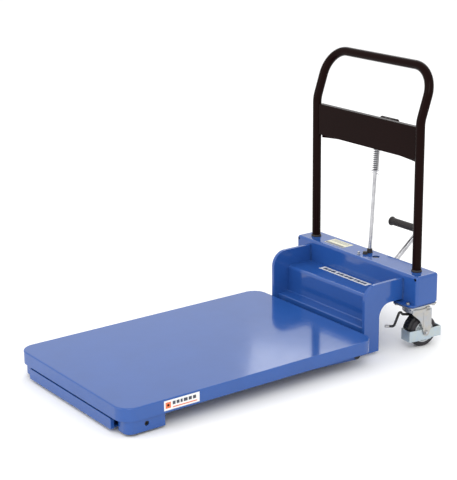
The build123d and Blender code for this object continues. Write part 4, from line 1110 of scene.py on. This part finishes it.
# ------------------------------------------------------------------ controls
class TRUCK_OT_release(bpy.types.Operator):
    """Build the release rod with its washer, split pin and spring"""

    bl_idname = "truck.release"
    bl_label = "Release rod"

    def execute(self, context):
        sizes = context.scene.truck_tubes
        table_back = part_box("deck_plate")[0].x
        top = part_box("rear_box")[1].z
        rise = Vector(frame_joint("release_pull")["axis"]).normalized()
        foot_pin = Vector(frame_joint("valve_turn")["pos_m"])
        tip_pin = Vector(frame_joint("release_squeeze")["pos_m"])

        def on_rod(height):
            x = table_back - sizes.rod_base - (height - top) * math.tan(sizes.rod_lean)
            return Vector((x, sizes.rod_side, height))

        foot, tip = on_rod(foot_pin.z), on_rod(tip_pin.z)
        run = (tip - foot).length
        collar = (sizes.washer_height - foot.z) / math.cos(sizes.rod_lean)
        radius = sizes.rod_radius
        profile = [
            (0, -0.008), (0.0035, -0.008), (0.004, -0.0075), (0.004, 0.0115), (radius - 0.0008, 0.012),
            (radius, 0.013), (radius, run - 0.009), (radius - 0.0008, run - 0.008), (0.004, run - 0.0078),
            (0.004, run + 0.0035), (0.0034, run + 0.004), (0, run + 0.004),
        ]
        shank = turned("shank", foot, rise, profile, segments=40)
        washer = turned(
            "washer", foot + rise * collar, rise,
            [(radius, 0), (0.013, 0), (0.013, 0.003), (radius, 0.003), (radius, 0)], [0.0006, 0.0006, 0], 48,
        )
        pins = [rod("pin", p - LEFT * 0.014, p + LEFT * 0.014, 0.003, 0.0004, 24) for p in (foot, tip)]
        split = on_rod(sizes.washer_height - 0.008)
        head = split + LEFT * 0.010
        loop = bent_tube(
            "split_pin",
            [split - LEFT * 0.015 - FORWARD * 0.002, split - LEFT * 0.009, head,
            head + LEFT * 0.0055 + UP * 0.0035,
             head + LEFT * 0.0055 - UP * 0.0030],
            [0.003, 0.003, 0.0022], 0.0013, 10, 5,
        )
        piece = join("release_shank", shank, washer, *pins, loop)
        hand_over(piece, "release_rod", COATS["chrome_plate"], ["release_rod"], 40)

        spring_low, spring_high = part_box("release_spring")
        wire = 0.0013
        coil = 0.0095
        turns = 11
        base_height = spring_low.z + 0.0016
        reach = (spring_high.z - spring_low.z - 0.0032) / math.cos(sizes.rod_lean)
        deselect()
        bpy.ops.mesh.primitive_circle_add(
            vertices=10, radius=wire, location=(coil, 0, 0), rotation=(math.pi / 2, 0, 0)
        )
        spring = settle("release_coil")
        modify(
            spring, "SCREW", axis="Z", angle=math.tau * turns, steps=22 * turns, render_steps=22 * turns,
            screw_offset=reach, iterations=1, use_merge_vertices=True, use_normal_calculate=True,
        )
        edit(spring)
        bpy.ops.mesh.select_all(action="SELECT")
        bpy.ops.mesh.fill_holes(sides=0)
        tidy_faces()
        leave()
        spring.matrix_world = Matrix.Translation(on_rod(base_height)) @ UP.rotation_difference(
            rise).to_matrix().to_4x4()
        take(spring)
        bpy.ops.object.transform_apply(location=True, rotation=True, scale=True)
        hand_over(spring, "base", COATS["spring_steel"], ["release_spring"], 60)
        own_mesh(spring)
        return {"FINISHED"}


class TRUCK_OT_pedal(bpy.types.Operator):
    """Build the foot pedal: bent chrome bar, cross shaft, cam and ribbed grip"""

    bl_idname = "truck.pedal"
    bl_label = "Foot pedal"

    def execute(self, context):
        sizes = context.scene.truck_tubes
        pivot = Vector(frame_joint("pedal_press")["pos_m"])
        low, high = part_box("pedal_grip")
        grip_axis = Vector(((low.x + high.x) / 2, 0, (low.z + high.z) / 2))
        elbow = Vector((grip_axis.x, pivot.y, grip_axis.z))
        end = Vector((grip_axis.x, low.y + 0.004, grip_axis.z))
        bar = bent_tube("bar", [pivot, elbow, end], [sizes.pedal_bend], sizes.pedal_bar, 36, 12)
        boss = turned(
            "boss", pivot - LEFT * 0.009, LEFT, [(0, 0), (0.011, 0), (0.011, 0.018), (0, 0.018)],
            [0.001, 0.001], 36
        )
        bracket_low, bracket_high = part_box("pedal_bracket")
        shaft_start = Vector((pivot.x, bracket_low.y - 0.002, pivot.z))
        shaft_end = Vector((pivot.x, bracket_high.y + 0.002, pivot.z))
        shaft = rod("shaft", shaft_start, shaft_end, 0.007, 0.0008, 36)
        plunger_low, plunger_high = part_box("pump_piston")
        cam_x = (plunger_low.x + plunger_high.x) / 2
        cam_y = (plunger_low.y + plunger_high.y) / 2
        cam_z = plunger_low.z - 0.0063
        nose = rod("nose", (cam_x, cam_y - 0.005, cam_z), (cam_x, cam_y + 0.005, cam_z), 0.006, 0.0005, 28)
        hub = rod("hub", (pivot.x, cam_y - 0.005, pivot.z), (pivot.x, cam_y + 0.005, pivot.z), 0.010,
            0.0005, 36)
        reach = Vector((cam_x - pivot.x, 0, cam_z - pivot.z))
        side = Vector((reach.z, 0, -reach.x)).normalized()
        centre = Vector((pivot.x, cam_y - 0.005, pivot.z))
        arm = slab(
            "arm",
            [centre + side * 0.008, centre + reach + side * 0.005, centre + reach - side * 0.005,
            centre - side * 0.008],
            [0, 0, 0, 0], LEFT * 0.010,
        )
        pedal = join("pedal_bar", bar, boss, shaft, nose, hub, arm)
        hand_over(pedal, "pedal", COATS["chrome_plate"], ["pedal_lever"], 40)

        run = high.y - low.y
        radius, flange = sizes.grip_radius, (high.z - low.z) / 2
        profile = [(0, 0), (flange, 0), (flange, 0.004), (radius, 0.0055)]
        rounds = [0.0016, 0.0014, 0.0005]
        ribs = 17
        pitch = (run - 0.020) / ribs
        for i in range(ribs):
            start = 0.010 + i * pitch
            profile += [(radius, start), (radius - 0.0010, start + pitch * 0.18)]
            profile += [(radius - 0.0010, start + pitch * 0.42), (radius, start + pitch * 0.60)]
            rounds += [0, 0, 0, 0]
        bar_radius = sizes.pedal_bar + 0.0001
        profile += [(radius, run - 0.0055), (flange, run - 0.004), (flange, run), (bar_radius, run)]
        rounds += [0.0005, 0.0014, 0.0012]
        profile += [(bar_radius, 0.004), (0, 0.004)]
        rounds += [0, 0]
        grip = turned("pedal_rubber", (grip_axis.x, low.y, grip_axis.z), LEFT, profile, rounds, 48)
        hand_over(grip, "pedal", COATS["black_rubber"], ["pedal_grip"], 40)
        return {"FINISHED"}


# ------------------------------------------------------------------ casters
class TRUCK_OT_casters(bpy.types.Operator):
    """Build both casters about their swivel axes, then turn and place them"""

    bl_idname = "truck.casters"
    bl_label = "Casters"

    def mount(self, sizes):
        """Top plate with its nuts and the fixed race."""
        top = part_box("caster_plates")[1].z
        corners = [(-0.055, -0.044), (0.055, -0.044), (0.055, 0.044), (-0.055, 0.044)]
        plate = slab("plate", [(x, y, top - 0.004) for x, y in corners], [0.008] * 4, UP * 0.004)
        soften(plate, 0.0008, 2)
        race_low = sizes.crown_top + 0.0003
        race = turned(
            "race", (0, 0, race_low), UP,
            [(0, 0), (sizes.race, 0), (sizes.race, 0.0035), (sizes.race - 0.004, top - 0.004 - race_low),
             (0, top - 0.004 - race_low)], [0.0012, 0.002, 0.001], 56,
        )
        king = rod("king", (0, 0, sizes.crown_bottom - 0.006), (0, 0, race_low), 0.006, 0.0005)
        nut = hexagon("nut", (0, 0, sizes.crown_bottom - 0.0005), -UP, 0.0173, 0.0055)
        parts = [plate, race, king, nut]
        for x in (-0.045, 0.045):
            for y in (-0.035, 0.035):
                parts.append(hexagon("nut", (x, y, top - 0.004), -UP, 0.011, 0.005))
        return join("caster_mount", *parts)

    def fork(self, sizes):
        """Pressed crown, two legs, axle bolt, nuts and rivets."""
        wheel = Vector((-sizes.trail, 0, sizes.radius))
        outer = sizes.leg_inner + sizes.fork_sheet
        top, low = sizes.crown_top, sizes.crown_bottom
        crown = turned(
            "crown", (0, 0, 0), UP,
            [(0.00606, low + 0.004), (0.032, low + 0.004), (0.032, low), (sizes.race + 0.001, low),
             (sizes.race + 0.001, top - 0.003), (sizes.race - 0.002, top), (0.00606, top),
             (0.00606, low + 0.004)],
            [0.002, 0, 0.0005, 0.002, 0.001, 0], 64,
        )
        x = wheel.x / 2 - 0.005
        half = (sizes.race + 0.010) / 2
        bridge = block("bridge", (x - half, -outer, low), (x - half + 0.016, outer, top - 0.0006))
        soften(bridge, 0.0022, 4)
        parts = [crown, bridge]
        for y in (sizes.leg_inner, -outer):
            leg = start_point("leg", (wheel.x - 0.019, y, top - 0.006))
            follow(
                [(wheel.x - 0.019, y, top - 0.006), (wheel.x - 0.019, y, wheel.z + 0.014),
                (wheel.x - 0.0085, y, wheel.z - 0.006)],
                [0.010], 5,
            )
            follow(
                [(wheel.x - 0.0085, y, wheel.z - 0.006), (wheel.x - 0.002, y, wheel.z - 0.0125),
                 (wheel.x + 0.0085, y, wheel.z - 0.008), (wheel.x + 0.014, y, wheel.z + 0.018),
                 (wheel.x + 0.026, y, wheel.z + 0.044), (sizes.race - 0.008, y, low - 0.003),
                 (sizes.race - 0.008, y, top - 0.006), (wheel.x - 0.019, y, top - 0.006)],
                [0.005, 0.008, 0.030, 0.030, 0.006, 0.001], 5,
            )
            bpy.ops.mesh.select_all(action="SELECT")
            bpy.ops.mesh.remove_doubles(threshold=1e-5)
            bpy.ops.mesh.edge_face_add()
            push(LEFT * sizes.fork_sheet)
            tidy_faces()
            leave()
            soften(leg, 0.0007, 2)
            parts.append(leg)
            face = 1 if y > 0 else -1
            crease_y = face * (outer + 0.0005)
            crease = block(
                "crease", (wheel.x - 0.004, min(crease_y, face * (outer - 0.001)), wheel.z + 0.014),
                (wheel.x + 0.013, max(crease_y, face * (outer - 0.001)), top - 0.010),
            )
            edit(crease)
            pick("FACE", facing(LEFT * face))
            bpy.ops.mesh.inset(thickness=0.0014, depth=0.0012)
            leave()
            soften(crease, 0.0005, 2, 20)
            rivet = turned(
                "rivet", (wheel.x + 0.004, face * outer, low - 0.014), LEFT * face,
                [(0, 0), (0.0058, 0), (0.0054, 0.0012), (0.0030, 0.0028), (0, 0.0030)], [0, 0.001, 0.003], 28,
            )
            washer = turned(
                "washer", (wheel.x, face * outer, wheel.z), LEFT * face,
                [(0, 0), (0.0092, 0), (0.0092, 0.0012), (0, 0.0012)], [0.0002, 0.0004], 36,
            )
            nut = hexagon("nut", (wheel.x, face * (outer + 0.0012), wheel.z), LEFT * face, 0.013, 0.0048)
            end = rod(
                "axle_end", (wheel.x, face * (outer + 0.005), wheel.z),
                (wheel.x, face * (outer + 0.0072), wheel.z),
                0.0038, 0.0008, 24,
            )
            parts += [crease, rivet, washer, nut, end]
        parts.append(rod(
            "axle", (wheel.x, -outer, wheel.z), (wheel.x, outer, wheel.z), 0.005, 0.0003,
        ))
        parts.append(rod("brake_pin", (0.006, -sizes.leg_inner, 0.106), (0.006, sizes.leg_inner, 0.106),
            0.003, 0.0003, 24))
        return join("caster_fork", *parts)

    def guard(self, sizes):
        """Toe guard: a flat bar bent round the wheel, its lower back edge stepped up."""
        low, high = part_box("toe_guard_left")
        half_x, half_y = sizes.guard_length / 2, sizes.guard_width / 2
        x = -sizes.trail
        route = [
            (x, half_y, low.z), (x + half_x, half_y, low.z), (x + half_x, -half_y, low.z),
            (x - half_x, -half_y, low.z),
            (x - half_x, half_y, low.z), (x, half_y, low.z),
        ]
        ring = folded("toe_guard", route, [0.004] * 4, UP * (high.z - low.z), FORWARD, 6)
        edit(ring)
        tidy_faces()
        mesh = bmesh.from_edit_mesh(ring.data)
        middle = Vector((x, 0, 0))
        outward = sum(
            f.normal.dot(f.calc_center_median() - middle) for f in mesh.faces
        )
        if outward < 0:
            bpy.ops.mesh.flip_normals()
        leave()
        thicken(ring, 0.003)
        step = slab(
            "step",
            [(x - sizes.guard_length, -0.048, low.z - 0.005), (x - sizes.guard_length, -0.048, low.z + 0.004),
             (x - 0.024, -0.048, low.z + 0.004), (x - 0.012, -0.048, low.z - 0.005)],
            [0, 0, 0.004, 0], LEFT * 0.096,
        )
        bore = rod("drill", (x, -0.06, sizes.radius), (x, 0.06, sizes.radius), 0.0052, 0.0001)
        cut(ring, step, bore)
        return soften(ring, 0.0007, 2, 50)

    def wheel(self, sizes):
        """Nylon hub with ribs, and the solid tyre."""
        x, z = -sizes.trail, sizes.radius
        half = sizes.width / 2 - 0.001
        rim = sizes.hub - 0.0001
        profile = [
            (0.00506, -half), (0.0135, -half), (0.0145, -0.0072), (0.0290, -0.0062), (0.0315, -half),
            (rim, -half),
            (rim, half), (0.0315, half), (0.0290, 0.0062), (0.0145, 0.0072), (0.0135, half), (0.00506, half),
            (0.00506, -half),
        ]
        rounds = [0.001, 0.002, 0.002, 0.0008, 0.0005, 0.0005, 0.0008, 0.002, 0.002, 0.001, 0]
        hub = turned("hub", (x, 0, z), LEFT, profile, rounds, 64)
        parts = [hub]
        ribs = 8
        for i in range(ribs):
            for side in (-1, 1):
                rib = block("rib", (x + 0.0125, side * 0.0100 - 0.0045, z - 0.0013),
                    (x + 0.0310, side * 0.0100 + 0.0045, z + 0.0013))
                soften(rib, 0.0005, 2)
                take(rib)
                bpy.ops.transform.rotate(value=math.tau * i / ribs, orient_axis="Y",
                    center_override=(x, 0, z))
                bpy.ops.object.transform_apply(location=True, rotation=True, scale=True)
                parts.append(rib)
        hub = join("wheel_hub", *parts)
        width = sizes.width / 2
        radius = sizes.radius
        bore = sizes.hub + 0.0001
        profile = [
            (bore, -width), (radius - 0.006, -width), (radius - 0.0045, -width + 0.0012),
            (radius, -width * 0.62),
            (radius, -0.001), (radius, 0.001), (radius, width * 0.62), (radius - 0.0045, width - 0.0012),
            (radius - 0.006, width), (bore, width), (bore, -width),
        ]
        rounds = [0.003, 0.001, 0.005, 0, 0, 0.005, 0.001, 0.003, 0]
        tyre = turned("caster_tyre", (x, 0, z), LEFT, profile, rounds, 96)
        return hub, tyre

    def brake(self, sizes, side):
        """Brake shoe over the tyre, and its bent foot lever with a plated tip."""
        wheel = Vector((-sizes.trail, 0, sizes.radius))
        inner, outer = sizes.radius + 0.003, sizes.radius + 0.014
        first, sweep = math.radians(15), math.radians(45)
        start = wheel + Vector((math.cos(first), 0, math.sin(first))) * inner - LEFT * 0.013
        shoe = start_point("shoe", start)
        push(Vector((math.cos(first), 0, math.sin(first))) * (outer - inner))
        pick("EDGE", lambda e: True)
        swing((wheel.x, -0.013, wheel.z), -LEFT, sweep, 12)
        bpy.ops.mesh.select_all(action="SELECT")
        push(LEFT * 0.026)
        tidy_faces()
        leave()
        soften(shoe, 0.0009, 2)
        lug = rod("lug", (0.006, -0.013, 0.106), (0.006, 0.013, 0.106), 0.007, 0.0008, 32)
        teeth = []
        for i in range(5):
            at = first + sweep * (i + 0.5) / 5
            spot = wheel + Vector((math.cos(at), 0, math.sin(at))) * (outer + 0.0002)
            teeth.append(rod("tooth", spot - LEFT * 0.011, spot + LEFT * 0.011, 0.0014, 0.0004, 10))
        shoe = join("brake_shoe", shoe, lug, *teeth)
        route = [
            (0.011, side * 0.009, 0.106), (sizes.race + 0.001, side * 0.014, 0.110),
            (sizes.race + 0.009, side * 0.015, sizes.crown_bottom + 0.002), (0.066, side * 0.017, 0.074),
            (0.088, side * 0.035, 0.073),
        ]
        lever = bent_tube("brake_lever", route, [0.006, 0.0055, 0.009], 0.004, 24, 8)
        toe, heel = Vector(route[-1]), Vector(route[-2])
        ahead = (toe - heel).normalized()
        tip = turned(
            "tip", toe - ahead * 0.014, ahead,
            [(0.0041, 0), (0.0046, 0), (0.0047, 0.012), (0.0030, 0.0140), (0, 0.0142)],
            [0.0003, 0.001, 0.002], 24,
        )
        tip.data.materials.append(COATS["zinc_plate"])
        lever.data.materials.append(COATS["dark_steel"])
        lever = join("brake_lever", lever, tip)
        return shoe, lever

    def execute(self, context):
        sizes = context.scene.truck_casters
        headings = {"left": sizes.heading_left, "right": sizes.heading_right}
        made = {
            "caster_mount": self.mount(sizes), "caster_fork": self.fork(sizes),
            "toe_guard": self.guard(sizes),
        }
        made["wheel_hub"], made["caster_tyre"] = self.wheel(sizes)
        for name, side in SIDES.items():
            swivel = Vector(frame_joint(f"caster_{name}_swivel")["pos_m"])
            spot = Vector((swivel.x, swivel.y, 0))
            here = {key: twin(piece, f"{key}_piece_{name}") for key, piece in made.items()}
            shoe, lever = self.brake(sizes, -side)
            here["brake_shoe"] = join(f"brake_shoe_piece_{name}", shoe)
            here["brake_lever"] = join(f"brake_lever_piece_{name}", lever)
            for key, piece in here.items():
                place_turned(piece, 0 if key == "caster_mount" else headings[name], spot)
            stands_for = ["caster_plates"] if name == "left" else []
            hand_over(here["caster_mount"], "base", COATS["zinc_plate"], stands_for)
            hand_over(here["caster_fork"], f"caster_{name}", COATS["zinc_plate"],
                [f"caster_fork_{name}"])
            hand_over(here["toe_guard"], f"caster_{name}", COATS["blue_zinc"],
                [f"toe_guard_{name}"])
            hand_over(here["wheel_hub"], f"wheel_{name}", COATS["wheel_plastic"],
                [f"wheel_hub_{name}"])
            hand_over(here["caster_tyre"], f"wheel_{name}", COATS["tyre_rubber"],
                [f"caster_tyre_{name}"])
            hand_over(here["brake_shoe"], f"brake_{name}", COATS["dark_steel"],
                [f"brake_shoe_{name}"])
            hand_over(here["brake_lever"], f"brake_{name}", None, [f"brake_lever_{name}"])
        for piece in made.values():
            bpy.data.objects.remove(piece)
        return {"FINISHED"}


# ------------------------------------------------------------------ inner parts
class TRUCK_OT_inner_parts(bpy.types.Operator):
    """Give the scissor, the rams, the pump and the linkage their finishes"""

    bl_idname = "truck.inner_parts"
    bl_label = "Inner parts"

    def execute(self, context):
        slots = {part["node"]: part["material_slot"] for part in frame["record"]["subparts"]}
        slots["oil_tank"] = "dark_steel"
        for name, node in frame["nodes"].items():
            if not node.hide_render:
                node.data.materials.clear()
                node.data.materials.append(COATS[slots[name]])
        return {"FINISHED"}


# ------------------------------------------------------------------ stage
class TRUCK_OT_stage(bpy.types.Operator):
    """Set the floor, the studio lights and the camera"""

    bl_idname = "truck.stage"
    bl_label = "Studio"

    def lamp(self, name, place, aim, size, power):
        deselect()
        bpy.ops.object.light_add(type="AREA", location=place)
        lamp = bpy.context.active_object
        lamp.name = name
        lamp.data.shape = "RECTANGLE"
        lamp.data.size = size
        lamp.data.size_y = size
        lamp.data.energy = power
        lamp.rotation_mode = "QUATERNION"
        lamp.rotation_quaternion = (Vector(aim) - Vector(place)).to_track_quat("-Z", "Y")

    def execute(self, context):
        deselect()
        bpy.ops.mesh.primitive_plane_add(size=60, location=(0, 0, 0))
        floor = settle("studio_floor")
        edit(floor)
        bpy.ops.mesh.subdivide(number_cuts=3)
        leave()
        coat = Coat("studio_floor_paint")
        coat.shades(coat.grain(1.5, 2), [(0.3, (0.94, 0.94, 0.94)), (0.7, (0.955, 0.955, 0.955))])
        coat.set(Roughness=0.7, Specular_IOR_Level=0.2)
        floor.data.materials.append(coat.material)

        world = bpy.data.worlds.new("studio_air")
        context.scene.world = world
        world.use_nodes = True
        air = world.node_tree.nodes["Background"]
        air.inputs["Color"].default_value = (1.0, 1.0, 1.0, 1)
        air.inputs["Strength"].default_value = 1.08
        for lamp in LAMPS:
            self.lamp(*lamp)

        yaw, pitch, roll = (math.radians(turn) for turn in CAMERA_TURNS)
        ahead = -Vector((math.cos(pitch) * math.cos(yaw), math.cos(pitch) * math.sin(yaw), math.sin(pitch)))
        across = ahead.cross(UP).normalized()
        above = across.cross(ahead)
        right = math.cos(roll) * across + math.sin(roll) * above
        top = math.cos(roll) * above - math.sin(roll) * across
        deselect()
        bpy.ops.object.camera_add(location=CAMERA_PLACE)
        camera = bpy.context.active_object
        camera.name = "studio_camera"
        camera.rotation_mode = "QUATERNION"
        camera.rotation_quaternion = Matrix((right, top, -ahead)).transposed().to_quaternion()
        camera.data.sensor_fit = "AUTO"
        camera.data.sensor_width = 36.0
        camera.data.lens = CAMERA_LENS
        camera.data.clip_start, camera.data.clip_end = 0.05, 100
        context.scene.camera = camera
        context.scene.view_settings.view_transform = "Standard"
        return {"FINISHED"}


# ------------------------------------------------------------------ sidebar
class TRUCK_PT_panel(bpy.types.Panel):
    """Sizes, colours and building steps of the truck"""

    bl_idname = "TRUCK_PT_panel"
    bl_label = "Lift Table Truck"
    bl_space_type = "VIEW_3D"
    bl_region_type = "UI"
    bl_category = "Truck"

    def draw(self, context):
        layout = self.layout
        for group in ("truck_sheet", "truck_tubes", "truck_casters", "truck_colours"):
            settings = getattr(context.scene, group)
            box = layout.box()
            for name in type(settings).__annotations__:
                box.prop(settings, name)
        for operator in OPERATORS:
            layout.operator(operator.bl_idname)


OPERATORS = (
    TRUCK_OT_table, TRUCK_OT_labels, TRUCK_OT_cheeks, TRUCK_OT_step, TRUCK_OT_rear_box, TRUCK_OT_fasteners,
    TRUCK_OT_nose, TRUCK_OT_handle, TRUCK_OT_panels, TRUCK_OT_release, TRUCK_OT_pedal, TRUCK_OT_casters,
    TRUCK_OT_inner_parts, TRUCK_OT_stage,
)
GROUPS = {
    "truck_sheet": TruckSheetSizes,
    "truck_tubes": TruckTubeSizes,
    "truck_casters": TruckCasterSizes,
    "truck_colours": TruckColours,
}
COATS = {}


def frame_joint(name):
    """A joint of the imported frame, by name."""
    return next(j for j in frame["joints"] if j["name"] == name)


def register():
    for group in GROUPS.values():
        bpy.utils.register_class(group)
    for name, group in GROUPS.items():
        setattr(bpy.types.Scene, name, bpy.props.PointerProperty(type=group))
    for operator in OPERATORS:
        bpy.utils.register_class(operator)
    bpy.utils.register_class(TRUCK_PT_panel)


def unregister():
    bpy.utils.unregister_class(TRUCK_PT_panel)
    for operator in reversed(OPERATORS):
        bpy.utils.unregister_class(operator)
    for name, group in GROUPS.items():
        delattr(bpy.types.Scene, name)
        bpy.utils.unregister_class(group)


def main():
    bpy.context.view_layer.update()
    register()
    COATS.update(make_coats())
    for operator in OPERATORS:
        family, name = operator.bl_idname.split(".")
        getattr(getattr(bpy.ops, family), name)()


if __name__ == "__main__":
    main()
